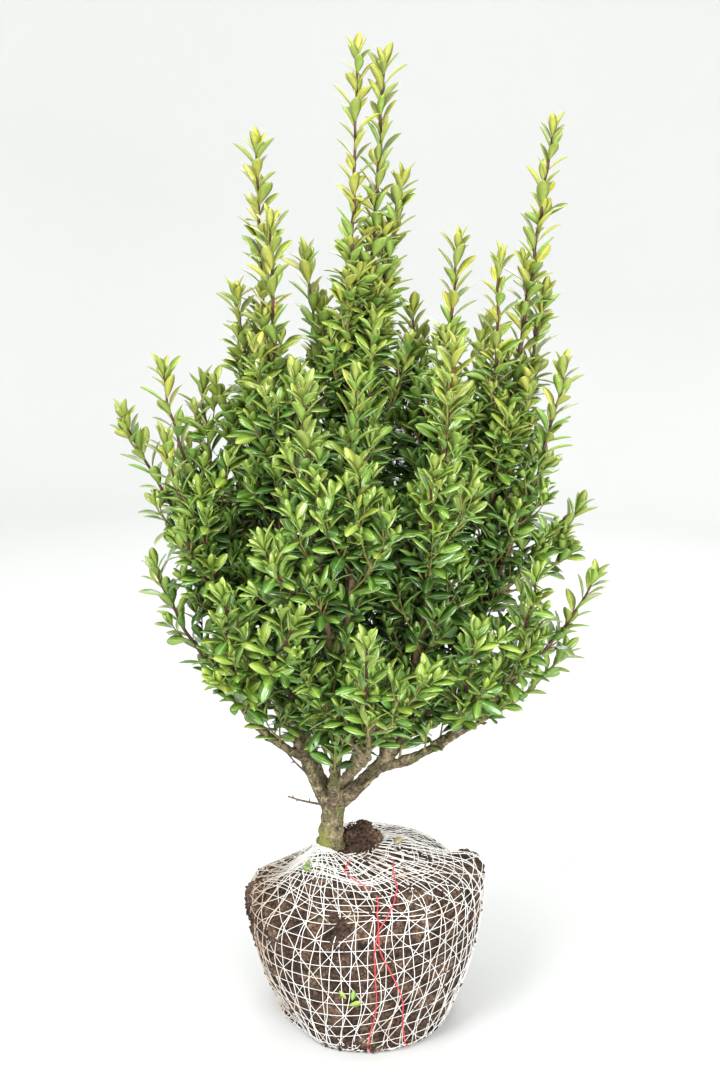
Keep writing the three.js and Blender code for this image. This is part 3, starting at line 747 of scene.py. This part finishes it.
def barkRelief(place):
    # ridges run up the limb, with knots and a fine grain
    stretched = Vector((place.x / 4.2, place.y / 4.2, place.z / 13))
    ridge = 1 - 2 * abs(noise.noise(stretched))
    knot = max(0, noise.noise(place / 11 + Vector((5, 2, 8))) - 0.12)
    lift = bark["ridge"] * (ridge - 0.45) * 0.5 + bark["grain"] * noise.noise(place / 1.9)
    return lift + bark["knot"] * knot - bark["trim"]


def stemRadius(shoot, share):
    # thick at the foot, then a long even taper to the tip
    return mix(shoot["thick"], stem["tipThickness"], min(max(share, 0), 1) ** 1.1)


# Twigs and leaves: the part's own rule, carried on to finer twigs
twig = {
    "spacing": 14, "firstAt": 0.03, "lastAt": 0.86, "length": 78, "longest": 1.2, "leastLength": 16,
    "lengthSpread": 0.45, "vigour": 1.5, "vigorous": 0.13, "outerLength": 0.45, "outerLengthHigh": 0.66,
    "lean": 0.85, "leanHigh": 0.5, "rise": 0.5, "riseHigh": 0.8, "high": (560, 760), "bendAt": 0.55,
    "bare": 0.94, "bareHigh": 0.65, "bareEdge": (0.6, 0.95), "thickness": 1.4, "tipThickness": 0.55,
    "boughFrom": 0.4, "boughSpacing": 10, "boughLength": 46, "boughSkin": 4, "margin": -18,
    "spraySpacing": 19, "sprayFrom": 0.3, "sprayTo": 0.8, "sprayParent": 38, "sprayLongest": 1.25,
    "sprayLength": 36, "spraySpread": 0.3, "sprayLean": 0.8, "bareShare": 0.24, "sprayBareShare": 0.26,
}
leaf = {
    "length": 25, "lengthSpread": 0.18, "tipLength": 24, "width": 0.43, "leaderLength": 1.17,
    "spacing": 6.8, "leaderSpacing": 5.2, "olderSpacing": 2.6, "lastAt": 0.985, "leaderFrom": 0.16,
    "lean": 0.98, "leaderLean": 0.82, "leanSpread": 0.22, "closing": 0.4, "roll": 0.9,
    "tries": 4, "margin": -24, "clearOfWood": 1.5, "crowding": 5.6, "towardsLight": 0.35, "batch": 3200,
}
crown = {"middle": vec(-5, 0, 520), "radii": vec(190, 170, 220), "from": 0.5, "to": 1.25}
skirt = {"x": -38, "lowest": 240, "slope": 1.05, "lowestRight": 256, "slopeRight": 0.54}


def outness(place):
    share = float(np.linalg.norm((place - crown["middle"]) / crown["radii"]))
    return smoothStep(share, crown["from"], crown["to"])


def isUnderSkirt(place):
    # the crown's underside rises from the fork like a funnel, flatter on the right
    across, deep = place[0] - skirt["x"], place[1]
    reach = math.hypot(across, deep)
    right = max(0, across) / max(reach, 1)
    lowest = mix(skirt["lowest"], skirt["lowestRight"], right)
    return place[2] < lowest + reach * mix(skirt["slope"], skirt["slopeRight"], right)


def varied(value, share, dice):
    return value * (1 + share * (2 * dice.random() - 1))


def searchTree(places):
    tree = KDTree(len(places))
    for index, place in enumerate(places):
        tree.insert(Vector(place), index)
    tree.balance()
    return tree


class Space:
    # which mass a place belongs to, and whether wood is in the way
    def __init__(self, shoots):
        lines = [[] for _ in masses]
        for shoot in shoots:
            lines[shoot["mass"]] += list(evenly(shoot["line"], 15))
        self.masses = [searchTree(places) for places in lines]
        self.owners = [number for number, places in enumerate(lines) for _ in places]
        self.shoots = searchTree([place for places in lines for place in places])
        wood = [(place, radii[0]) for name, _, _, radii, _ in boughs for place in boughLines[name]]
        wood += [(place, trunk["footRadius"]) for place in np.linspace(trunk["foot"], trunk["fork"], 24)]
        self.wood = searchTree([place for place, _ in wood])
        self.woodRadii = [radius for _, radius in wood]
        self.low = np.array(cadBox[0]) / mm - 6
        self.high = np.array(cadBox[1]) / mm + 6

    def isFree(self, number, place, margin):
        if (place < self.low).any() or (place > self.high).any() or isUnderSkirt(place):
            return False
        spot = Vector(place)
        _, index, gap = self.shoots.find(spot)
        if self.owners[index] != number and self.masses[number].find(spot)[2] > gap - margin:
            return False
        _, index, gap = self.wood.find(spot)
        return gap > self.woodRadii[index] + leaf["clearOfWood"]


def growTwigs(shoots, space):
    twigs = []
    for order, shoot in enumerate(shoots):
        dice = random.Random(101 + 17 * order)
        turn = dice.random() * 2 * math.pi
        share = twig["firstAt"]
        while share < twig["lastAt"]:
            place, direction = alongLine(shoot["line"], share)
            out = outness(place)
            turn += goldenAngle
            high = smoothStep(place[2], *twig["high"])
            outer = mix(1, mix(twig["outerLength"], twig["outerLengthHigh"], high), out)
            reach = varied(twig["length"] * (twig["longest"] - share) * outer, twig["lengthSpread"], dice)
            reach *= twig["vigour"] if dice.random() < twig["vigorous"] else 1
            bare = mix(twig["bare"], twig["bareHigh"], high) * smoothStep(out, *twig["bareEdge"])
            isBare = dice.random() < bare
            if reach > twig["leastLength"] and not isBare:
                addTwig(twigs, shoot["mass"], place, direction, turn, reach, space)
            share += twig["spacing"] / lineLength(shoot["line"])
    for name, line in boughLines.items():
        dice = random.Random(int(abs(line[-1].sum()) * 10))
        turn = dice.random() * 2 * math.pi
        share = twig["boughFrom"]
        number = [mass[1] for mass in masses].index(name)
        while share < 1:
            place, direction = alongLine(line, share)
            turn += goldenAngle
            foot = place + sideOf(direction, turn) * twig["boughSkin"]
            reach = varied(twig["boughLength"], twig["lengthSpread"], dice)
            addTwig(twigs, number, foot, direction, turn, reach, space)
            share += twig["boughSpacing"] / lineLength(line)
    for parent in list(twigs):
        length = lineLength(parent["line"])
        dice = random.Random(int(parent["line"][-1].sum() * 10))
        turn = dice.random() * 2 * math.pi
        share = twig["sprayFrom"]
        while share < twig["sprayTo"] and length > twig["sprayParent"]:
            place, direction = alongLine(parent["line"], share)
            turn += goldenAngle
            reach = varied(twig["sprayLength"] * (twig["sprayLongest"] - share), twig["spraySpread"], dice)
            addTwig(twigs, parent["mass"], place, direction, turn, reach, space, "spray")
            share += twig["spraySpacing"] / length
    return twigs


def addTwig(twigs, mass, place, direction, turn, reach, space, kind="twig"):
    high = smoothStep(place[2], *twig["high"])
    rise = up * mix(twig["rise"], twig["riseHigh"], high)
    lean = (twig["lean"] if kind == "twig" else twig["sprayLean"]) * mix(1, twig["leanHigh"], high)
    aim = unit(direction * math.cos(lean) + sideOf(direction, turn) * math.sin(lean) + rise * 0.5)
    line = bezier([place, place + aim * reach * twig["bendAt"], place + unit(aim + rise) * reach], 8)
    if all(space.isFree(mass, p, twig["margin"]) for p in line[2:]):
        twigs.append({
            "mass": mass, "kind": kind, "line": line, "thick": twig["thickness"],
            "bareShare": twig["bareShare"] if kind == "twig" else twig["sprayBareShare"]})


# from the lightest to the darkest, with how much light the first five need: lit and shaded copies of the
# leaf colours, so painted light and shade; young leaves at the shoots' tips are also truly paler
toneNames = ["budTip", "youngLeaf", "lightLeaf", "midLeaf", "deepLeaf", "shadeLeaf"]
toneLimits = [0.95, 0.78, 0.58, 0.39, 0.22]
brightness = {
    "out": 0.34, "share": 0.3, "height": 0.28, "low": 250, "high": 880, "least": 0.05, "spread": 0.48,
    "tuft": 0.4, "tuftFall": 0.03,
}
# the tuft at a shoot's tip: how many leaves, how fast they open, the first one's length, its change
tuft = {
    "fine": (3, 0.16, 0.66, 0.07), "leading": (6, 0.11, 1.04, -0.03),
    "lean": 0.12, "roll": 0.3, "gap": 1.3,
}


def leafLight(place, share):
    # painted light and shade: lighter towards the outside and the top of the crown, where the light falls,
    # and towards the shoot's own tip, where young leaves are truly paler
    high = smoothStep(place[2], brightness["low"], brightness["high"])
    outer = brightness["out"] * outness(place)
    return outer + brightness["share"] * share ** 1.5 + brightness["height"] * high


def growLeaves(shoots, space):
    leaves = {name: [] for name in toneNames}
    taken = {}

    def isCrowded(middle):
        size = leaf["crowding"]
        cell = tuple(int(c // size) for c in middle)
        for dx in (-1, 0, 1):
            for dy in (-1, 0, 1):
                for dz in (-1, 0, 1):
                    for other in taken.get((cell[0] + dx, cell[1] + dy, cell[2] + dz), ()):
                        if np.linalg.norm(other - middle) < size:
                            return True
        taken.setdefault(cell, []).append(middle)
        return False

    def addLeaf(shoot, root, along, aim, size, roll, light, dice, spaced):
        tip, middle = root + aim * size, root + aim * size * 0.55
        if not all(space.isFree(shoot["mass"], place, leaf["margin"]) for place in (tip, middle)):
            return False
        if spaced and isCrowded(middle):
            return False
        face = unit(along - aim * along.dot(aim))
        face = unit(mix(face, unit(up - aim * up.dot(aim)), leaf["towardsLight"]))
        face = face * math.cos(roll) + np.cross(aim, face) * math.sin(roll)
        # painted light and shade: the leaf's light picks a lighter or darker copy of the colours
        shade = sum(light < limit for limit in toneLimits)
        isFine = shoot["kind"] in ("twig", "spray")
        shape = dice.randrange(4) if isFine else 4 + dice.randrange(2)
        leaves[toneNames[shade]].append((root, aim, face, size, shape))
        return True

    for order, shoot in enumerate(shoots):
        dice = random.Random(5003 + 13 * order)
        length = lineLength(shoot["line"])
        isFine = shoot["kind"] in ("twig", "spray")
        spacing = leaf["spacing"] if isFine else leaf["leaderSpacing"]
        openest = leaf["lean"] if isFine else leaf["leaderLean"]
        turn = dice.random() * 2 * math.pi
        share = shoot["bareShare"] if isFine else max(shoot["bareShare"], leaf["leaderFrom"])
        while share < leaf["lastAt"]:
            root, along = alongLine(shoot["line"], share)
            size = varied(mix(leaf["length"], leaf["tipLength"], share ** 3), leaf["lengthSpread"], dice)
            size *= 1 if isFine else leaf["leaderLength"]
            lean = varied(openest * (1 - leaf["closing"] * share ** 2), leaf["leanSpread"], dice)
            chance = brightness["spread"] * (dice.random() - 0.5)
            light = leafLight(root, share) + brightness["least"] + chance
            for _ in range(leaf["tries"]):
                turn += goldenAngle
                aim = along * math.cos(lean) + sideOf(along, turn) * math.sin(lean)
                roll = leaf["roll"] * (dice.random() - 0.5)
                if addLeaf(shoot, root, along, aim, size, roll, light, dice, True):
                    break
            older = 1 if isFine else mix(leaf["olderSpacing"], 1, smoothStep(share, 0.3, 0.6))
            share += varied(spacing * older, 0.25, dice) / length
        tip, along = alongLine(shoot["line"], 1)
        count, opening, first, change = tuft["fine" if isFine else "leading"]
        for k in range(count):
            turn += goldenAngle
            lean = tuft["lean"] + opening * k
            aim = along * math.cos(lean) + sideOf(along, turn) * math.sin(lean)
            size = leaf["tipLength"] * (first + change * k)
            light = leafLight(tip, 0) + brightness["tuft"] - brightness["tuftFall"] * k
            roll = tuft["roll"] * (dice.random() - 0.5)
            addLeaf(shoot, tip - along * k * tuft["gap"], along, aim, size, roll, light, dice, False)
    return leaves


def leafShape(name, curl, twist, fold, width):
    # one blade a unit long: a narrow base, the widest place past the middle, a raised midrib,
    # and an underside that meets the blade at its rim
    stations = [0.12, 0.29, 0.47, 0.65, 0.81, 0.93]
    widths = [0.25, 0.64, 0.93, 1.0, 0.78, 0.44]
    ribHalf, ribLift, thick = 0.018, 0.006, 0.012
    points = [(0, 0, 0)]
    for along, share in zip(stations, widths):
        half = share * width / 2
        drop = -curl * along ** 2
        turn = twist * along
        rib = ribHalf * fold + ribLift
        section = ((-half, fold * half), (-ribHalf, rib), (ribHalf, rib), (half, fold * half), (0, -thick))
        for y, z in section:
            points.append((along, y * math.cos(turn) - z * math.sin(turn),
                           drop + y * math.sin(turn) + z * math.cos(turn)))
    points.append((1, 0, -curl))
    count = len(stations)
    tip = 1 + 5 * count
    faces, sides = [], []
    for k in range(3):
        faces += [(0, 1 + k, 2 + k), (tip, tip - 4 + k, tip - 5 + k)]
        sides += [1 if k == 1 else 0] * 2
    faces += [(0, 5, 1), (0, 4, 5), (tip, tip - 5, tip - 1), (tip, tip - 1, tip - 2)]
    sides += [2] * 4
    for row in range(count - 1):
        a, b = 1 + 5 * row, 6 + 5 * row
        for k in range(3):
            faces.append((a + k, b + k, b + k + 1, a + k + 1))
            sides.append(1 if k == 1 else 0)
        faces += [(a, a + 4, b + 4, b), (a + 4, a + 3, b + 3, b + 4)]
        sides += [2, 2]
    shape = meshPiece(name, np.array(points) / mm, faces, [])
    marks = shape.data.attributes.new("side", "INT", "FACE")
    marks.data.foreach_set("value", sides)
    return shape


def leafTree():
    # each point takes the shape, turn and size that it carries, and each side its own material
    coats = ("Blade", "Midrib", "Underside")
    tree, start, end = newTree("leafSprays", {"Shapes": "Collection", **dict.fromkeys(coats, "Material")})
    apart = {"Separate Children": True, "Reset Children": True}
    shapes = addNode(tree, "GeometryNodeCollectionInfo", apart,
                     {"Collection": start.outputs["Shapes"]})
    pick, turn, size, side = [
        addNode(tree, "GeometryNodeInputNamedAttribute", {"data_type": kind, "Name": name})
        for name, kind in (("shape", "INT"), ("turn", "QUATERNION"), ("size", "FLOAT"), ("side", "INT"))]
    placed = addNode(tree, "GeometryNodeInstanceOnPoints", {"Pick Instance": True}, {
        "Points": start.outputs["Geometry"], "Instance": shapes.outputs[0],
        "Instance Index": pick.outputs[0], "Rotation": turn.outputs[0], "Scale": size.outputs[0]})
    real = addNode(tree, "GeometryNodeRealizeInstances", links={"Geometry": placed.outputs[0]})
    last = real.outputs[0]
    for value, socket in enumerate(coats):
        match = addNode(tree, "FunctionNodeCompare", {"data_type": "INT", "operation": "EQUAL", 3: value},
                        {2: side.outputs[0]})
        coat = addNode(tree, "GeometryNodeSetMaterial", links={
            "Geometry": last, "Selection": match.outputs[0], "Material": start.outputs[socket]})
        last = coat.outputs[0]
    tree.links.new(last, end.inputs["Geometry"])
    return tree


def leafMaterial(name, light, dark, roughness, coat):
    # holly leaf: a thick waxy cuticle grown smooth, so a soft gloss over a lightly mottled green
    cuticle = {"Coat Weight": coat, "Coat Roughness": 0.24, "Coat IOR": 1.62}
    material, tree, shader, place = newMaterial(name, {"Roughness": roughness, "IOR": 1.52, **cuticle})
    mottle = ranged(tree, noiseAt(tree, place, 7, 3, Roughness=0.6), 0.3, 0.7)
    veins = noiseAt(tree, place, 1.6, 2)
    finishShader(tree, shader, blended(tree, mottle, dark, light), veins, 0.25, 0.25)
    return material


# each tone: the blade light and dark, the underside, the midrib, and the gloss of the blade's coat
# the first six tones are lit and shaded copies of the leaf colours: painted light and shade
leafColours = {
    "budTip": ("#B5B43F", "#999D31", "#AAAF5C", "#D0D286", 0.15),
    "youngLeaf": ("#99A43B", "#7F912E", "#929E56", "#BEC47E", 0.3),
    "lightLeaf": ("#93AB3E", "#799330", "#8FA957", "#B9C27A", 0.8),
    "midLeaf": ("#80A33B", "#638A2D", "#7FA052", "#AEBC74", 1),
    "deepLeaf": ("#608B30", "#467025", "#74964D", "#9AB06A", 1),
    "shadeLeaf": ("#456E28", "#31561E", "#789252", "#8AA262", 1),
    "dryLeaf": ("#B3A35E", "#8C7A42", "#B0A26C", "#C4B684", 0.05),
}
# each shape: curl, twist, fold and width; the last two are for the leading shoots
leafShapes = [
    (0.1, 0.1, 0.32, 1.08), (0.22, -0.3, 0.22, 1.02), (0.08, 0.35, 0.4, 0.95), (0.3, 0.05, 0.28, 0.98),
    (0.24, -0.15, 0.3, 0.88), (0.12, 0.25, 0.42, 0.82),
]


def leafSpots(name, places):
    # one point for each leaf
    mesh = bpy.data.meshes.new(name)
    mesh.from_pydata([tuple(root * mm) for root, *_ in places], [], [])
    turns = []
    for _, aim, face, _, _ in places:
        axes = np.stack([aim, np.cross(face, aim), face], axis=1)
        turns += list(Matrix(axes.tolist()).to_quaternion())
    mesh.attributes.new("turn", "QUATERNION", "POINT").data.foreach_set("value", turns)
    mesh.attributes.new("size", "FLOAT", "POINT").data.foreach_set("value", [p[3] * mm for p in places])
    mesh.attributes.new("shape", "INT", "POINT").data.foreach_set("value", [p[4] for p in places])
    spots = bpy.data.objects.new(name, mesh)
    bpy.context.scene.collection.objects.link(spots)
    return spots


def triangleCount(piece):
    return sum(len(face.vertices) - 2 for face in piece.data.polygons)


def makeLeaves(leaves):
    shapes = bpy.data.collections.new("leafShapes")
    bpy.context.scene.collection.children.link(shapes)
    for i, (curl, twist, fold, wide) in enumerate(leafShapes):
        shape = leafShape(f"leafShape{i}", curl, twist, fold, leaf["width"] * wide)
        bpy.context.scene.collection.objects.unlink(shape)
        shapes.objects.link(shape)
    tree = leafTree()
    for tone, places in leaves.items():
        light, dark, under, rib, gloss = leafColours[tone]
        coats = {
            "Blade": leafMaterial("waxyHollyBlade." + tone, light, dark, 0.32, gloss),
            "Midrib": leafMaterial("paleMidrib." + tone, rib, light, 0.5, 0.1),
            "Underside": leafMaterial("dullUnderside." + tone, under, dark, 0.58, 0),
        }
        for number, start in enumerate(range(0, len(places), leaf["batch"]), 1):
            batch = places[start:start + leaf["batch"]]
            spots = leafSpots(tone + "Points", batch)
            addTree(spots, tree, {"Shapes": shapes, **coats})
            piece = settled(spots, f"leaves_{tone}_{number}")
            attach(piece, "root")
            print(f"{piece.name}: {len(batch)} leaves, {triangleCount(piece)} triangles")
    for shape in list(shapes.objects):
        bpy.data.objects.remove(shape)
    bpy.data.collections.remove(shapes)


def stemMaterial(name, light, dark, roughness, grain):
    # the thin skin of shoots and twigs: satin when young, dull when dry, lightly mottled
    look = {"Roughness": roughness, "Specular IOR Level": 0.4}
    material, tree, shader, place = newMaterial(name, look)
    mottle = noiseAt(tree, place, grain, 4, Roughness=0.65)
    tint = blended(tree, ranged(tree, mottle, 0.35, 0.65), dark, light)
    finishShader(tree, shader, tint, mottle, 0.4, 0.3)
    return material


def strandTree():
    # a round strand along each curve, as thick as the curve's own radius says
    tree, start, end = newTree("strandsAlongPaths", {"Sides": "Int", "Material": "Material"})
    ring = addNode(tree, "GeometryNodeCurvePrimitiveCircle", {"Radius": 1.0},
                   {"Resolution": start.outputs["Sides"]})
    radius = addNode(tree, "GeometryNodeInputRadius").outputs[0]
    skin = addNode(tree, "GeometryNodeCurveToMesh", {"Fill Caps": True}, {
        "Curve": start.outputs["Geometry"], "Profile Curve": ring.outputs[0], "Scale": radius})
    smooth = addNode(tree, "GeometryNodeSetShadeSmooth", links={"Geometry": skin.outputs[0]})
    finishTree(tree, smooth.outputs[0], start, end)
    return tree


strands = strandTree()


def strandPiece(name, lines, sides, material):
    # lines are pairs of points and radii, in millimetres
    curve = bpy.data.curves.new(name, "CURVE")
    curve.dimensions = "3D"
    for points, radii in lines:
        spline = curve.splines.new("POLY")
        spline.points.add(len(points) - 1)
        places = np.hstack([np.asarray(points) * mm, np.ones((len(points), 1))])
        spline.points.foreach_set("co", places.ravel())
        spline.points.foreach_set("radius", np.asarray(radii, dtype=float) * mm)
    raw = bpy.data.objects.new(name + "Paths", curve)
    bpy.context.scene.collection.objects.link(raw)
    addTree(raw, strands, {"Sides": sides, "Material": material})
    piece = settled(raw, name)
    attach(piece, "root")
    print(f"{name}: {len(lines)} strands, {triangleCount(piece)} triangles")
    return piece


def makeStems(shoots, twigs):
    woody, young, green = [], [], []
    for shoot in shoots:
        line = shoot["line"]
        shares = np.linspace(0, 1, len(line))
        radii = [stemRadius(shoot, share) for share in shares]
        cut = int(len(line) * stem["oldShare"])
        woody.append((np.vstack([shoot["root"][None], line[:cut + 1]]), [radii[0]] + radii[:cut + 1]))
        upper = green if line[-1][2] < stem["greenBelow"] else young
        upper.append((line[cut:], radii[cut:]))
    fine = [(t["line"], np.linspace(t["thick"], twig["tipThickness"], len(t["line"]))) for t in twigs]
    brown = stemMaterial("secondYearShoot", "#8A7358", "#5C4736", 0.7, 4)
    purple = stemMaterial("thisYearShoot", "#623B34", "#3B2526", 0.5, 6)
    olive = stemMaterial("fineGreenTwig", "#8C8B4C", "#6B5A35", 0.55, 5)
    piece = strandPiece("stems_woody", woody, 7, brown)
    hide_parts(*[mass[0] for mass in masses])
    strandPiece("stems_young", young, 6, purple)
    strandPiece("stems_green", green, 6, olive)
    strandPiece("twigs_fine", fine, 4, olive)


def makeDeadTwigs():
    dry = stemMaterial("dryDeadTwig", "#6A5642", "#3A2C22", 0.85, 3)
    lines = []
    for number, (name, foot, tip) in enumerate(deadTwigs):
        foot, tip = np.array(foot, float), np.array(tip, float)
        line = wandering(bezier([foot, (foot + tip) / 2 - up * 3, tip], 14), 90 + number, 1.1)
        lines.append((line, np.linspace(1.5, 0.7, 14)))
        for share, turn in ((0.45, 1.2), (0.7, 4.1), (0.85, 2.4)):
            place, direction = alongLine(line, share)
            snag = place + (direction * 0.6 + sideOf(direction, turn)) * (7 - 5 * share)
            lines.append((np.array([place, (place + snag) / 2 + up * 0.3, snag]), [0.8, 0.65, 0.5]))
    piece = strandPiece("dead_twigs", lines, 6, dry)
    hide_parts(*[name for name, *_ in deadTwigs])


shoots = growShoots()
makeWood(shoots)
print("wood done")
space = Space(shoots)
twigs = growTwigs(shoots, space)
print(f"{len(shoots)} shoots and {len(twigs)} twigs grown")
makeStems(shoots, twigs)
makeDeadTwigs()


# Netting: crossed lines of knitted tape, drawn in round the trunk
net = {
    "chains": 40, "lean": 0.10, "diagonals": 25, "sweep": 0.3, "hoopGap": 15, "hoopTop": 0.8,
    "domeRows": 17, "neckRows": 10, "firstRow": 0.22, "neckRow": 10.8, "tape": 0.45, "thinner": 0.9,
    "stand": 0.9, "layer": 0.7, "wobble": 0.1, "slack": 0.009, "tent": 1.5, "collar": 2, "gathered": 1.2,
}


def netMaterial():
    # polypropylene tape, slit and knitted: white, faintly glossy, dulled where wet soil has rubbed it
    look = {"Roughness": 0.5, "Specular IOR Level": 0.5}
    material, tree, shader, place = newMaterial("knittedWhiteTape", look)
    dirty = ranged(tree, noiseAt(tree, place, 40, 4, Roughness=0.6), 0.5, 0.72, 0, 0.75)
    axes = addNode(tree, "ShaderNodeSeparateXYZ", links={0: place})
    leftSide = ranged(tree, axes.outputs["X"], -70 * mm, -112 * mm, 0, 0.8)
    soiled = combined(tree, "MAXIMUM", dirty, leftSide)
    finishShader(tree, shader, blended(tree, soiled, "#EAE8E4", "#BFA78F"))
    return material


def onNet(row, turn, lift, seed):
    # past the top row the netting is gathered up round the trunk, like a tent on its left
    broad = Vector((1.2 * math.cos(turn), 1.2 * math.sin(turn), row * 0.4))
    fine = Vector((7 * math.cos(turn), 7 * math.sin(turn), row * 1.9 + seed))
    wave = net["wobble"] * noise.noise(broad) + net["slack"] * noise.noise(fine)
    place = ballPoint(min(row, lastRow), turn + wave)
    place += ballNormal(min(row, lastRow), turn) * (net["stand"] + lift)
    left = 0.5 - 0.5 * math.cos(turn)
    uneven = 1 + 0.3 * noise.noise(Vector((turn * 3, row, seed)))
    place[2] += net["tent"] * left * smoothStep(row, 8.2, 10) * uneven
    if row > lastRow:
        past = row - lastRow
        around = trunk["footRadius"] + net["gathered"] + lift
        rise = 2 + net["collar"] * left * past
        collar = trunk["foot"] + vec(around * math.cos(turn), around * math.sin(turn), rise)
        place = mix(place, collar, min(1, past * 1.3))
    return place


def isOpen(place):
    # the netting is open where the soil stands up beside the trunk, and round the trunk itself
    across = (place[0] - mound["x"] + mound["openLeft"]) / (mound["across"] * mound["openAcross"])
    deep = (place[1] - mound["y"] + mound["openFront"]) / (mound["deep"] * mound["openDeep"])
    fromTrunk = math.hypot(place[0] - trunk["foot"][0], place[1] - trunk["foot"][1])
    isNear = fromTrunk < trunk["footRadius"] + 0.6
    return place[2] > mound["openAbove"] and (across * across + deep * deep < 1 or isNear)


def netLines():
    lines = []
    rows = np.concatenate([np.linspace(net["firstRow"], 5, 26), np.linspace(5.2, net["neckRow"], 30)])
    thin = net["tape"] * net["thinner"]

    def addLine(path, lift, seed, tape):
        # a line is cut into runs where the netting is open
        runs = [[]]
        for row, turn in path:
            place = onNet(row, turn, lift, seed)
            if isOpen(place):
                runs.append([])
            else:
                runs[-1].append(place)
        lines.extend((run, [tape] * len(run)) for run in runs if len(run) > 2)

    dice = random.Random(77)
    for side in (-1, 1):
        for k in range(net["chains"]):
            start = 2 * math.pi * (k + 0.5 * (side > 0) + 0.12 * (dice.random() - 0.5)) / net["chains"]
            lean = net["lean"] * (side + 0.2)
            path = [(row, start + lean * row / 5) for row in rows]
            addLine(path, net["layer"] * (side > 0), k * 0.37 + side, net["tape"])
        for k in range(net["diagonals"]):
            start = 2 * math.pi * (k + 0.1 * (dice.random() - 0.5)) / net["diagonals"]
            path = [(row, start + side * net["sweep"] * 2 * math.pi * (row - rows[0]) / 9) for row in rows]
            addLine(path, net["layer"] * (0.5 + 0.5 * side), 40 + k * 0.61 + side, net["tape"] * 0.85)
    turns = np.linspace(0, 2 * math.pi, 150)
    hoops = np.arange(net["hoopGap"] * 0.4, ball["height"] * net["hoopTop"], net["hoopGap"])
    for number, height in enumerate(hoops):
        row = float(np.interp(height / ball["height"], ballProfile[:, 0], range(lastRow + 1)))
        path = []
        for turn in turns:
            wavy = row + 0.22 * math.sin(turn + 0.6) + 0.03 * math.sin(5 * turn + number)
            path.append((max(wavy, net["firstRow"]), turn))
        addLine(path, net["layer"] / 2, number * 1.7, thin)
    domeRows = 5.1 + 5.5 * np.linspace(0, 1, net["domeRows"]) ** 0.8
    for number, row in enumerate(np.concatenate([domeRows, np.linspace(8.1, 10.3, net["neckRows"])])):
        slant = 0.2 if number % 2 else 0.12
        path = []
        for turn in turns:
            wavy = row + slant * math.sin(2 * turn + 3 * row) + 0.08 * math.sin(7 * turn + row)
            path.append((wavy, turn))
        addLine(path, net["layer"], 30 + row, thin)
    return lines


def makeNet():
    piece = strandPiece("nettingStrands", netLines(), 4, netMaterial())
    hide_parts("netting")


# Red tracer threads: where each runs, as millimetres across and a row of the ball
threads = {
    "radius": 0.6, "lift": 1.5,
    "routes": [
        [(18, 9.35), (7, 9.15), (-1, 8.8), (4, 8.35), (11, 7.85)],
        [(60, 8.6), (49, 8.25), (41, 7.85), (30, 7.2), (21, 6.3), (13, 5.4), (11, 4.65), (8, 3.8),
         (9, 2.8), (11, 1.6), (9, 0.4)],
        [(14, 7.35), (10, 6.35), (13, 5.4), (16, 4.7), (25, 3.8), (35, 3.05), (40, 2.45), (45, 1.6),
         (46, 0.4)],
    ],
}


def turnAcross(across, row):
    # the turn at which a row of the ball is so far across, on its front
    radius = np.linalg.norm(ballPoint(row, -math.pi / 2)[:2])
    return -math.acos(max(-1, min(1, across / radius)))


def makeThreads():
    # dyed polypropylene monofilament: bright red, smooth
    material, tree, shader, place = newMaterial("dyedRedFilament", {"Roughness": 0.45})
    fade = noiseAt(tree, place, 9, 3)
    finishShader(tree, shader, blended(tree, fade, "#C3202E", "#E8505A"))
    lines = []
    for route in threads["routes"]:
        corners = np.array([(row, turnAcross(across, row)) for across, row in route])
        spots = np.linspace(0, len(corners) - 1, 12 * len(corners))
        rows, turns = [np.interp(spots, range(len(corners)), corners[:, k]) for k in range(2)]
        line = np.array([onNet(row, turn, threads["lift"], 3) for row, turn in zip(rows, turns)])
        lines.append((line, [threads["radius"]] * len(line)))
    strandPiece("tracerThreads", lines, 5, material)


# Fallen leaves caught in the netting: tone, millimetres across, row, heading and length
strays = [
    ("lightLeaf", -18, 3, 0.4, 15), ("midLeaf", -15, 3.15, 1.5, 13), ("lightLeaf", -20, 3.2, 2.3, 12),
    ("midLeaf", -60, 8.45, 0.5, 17), ("lightLeaf", -57, 8.3, 2.2, 12), ("dryLeaf", 66, 8.9, 2.7, 22),
]


def addStrays(leaves):
    for name, across, row, heading, size in strays:
        turn = turnAcross(across, row)
        place, face = onNet(row, turn, 1.6, 3), ballNormal(row, turn)
        aim = unit(sideOf(face, heading) + face * 0.12)
        leaves.setdefault(name, []).append((place, aim, face, size, 0))


makeNet()
makeThreads()
print("netting and threads done")
leaves = growLeaves(shoots + twigs, space)
addStrays(leaves)
makeLeaves(leaves)
print("leaves done")
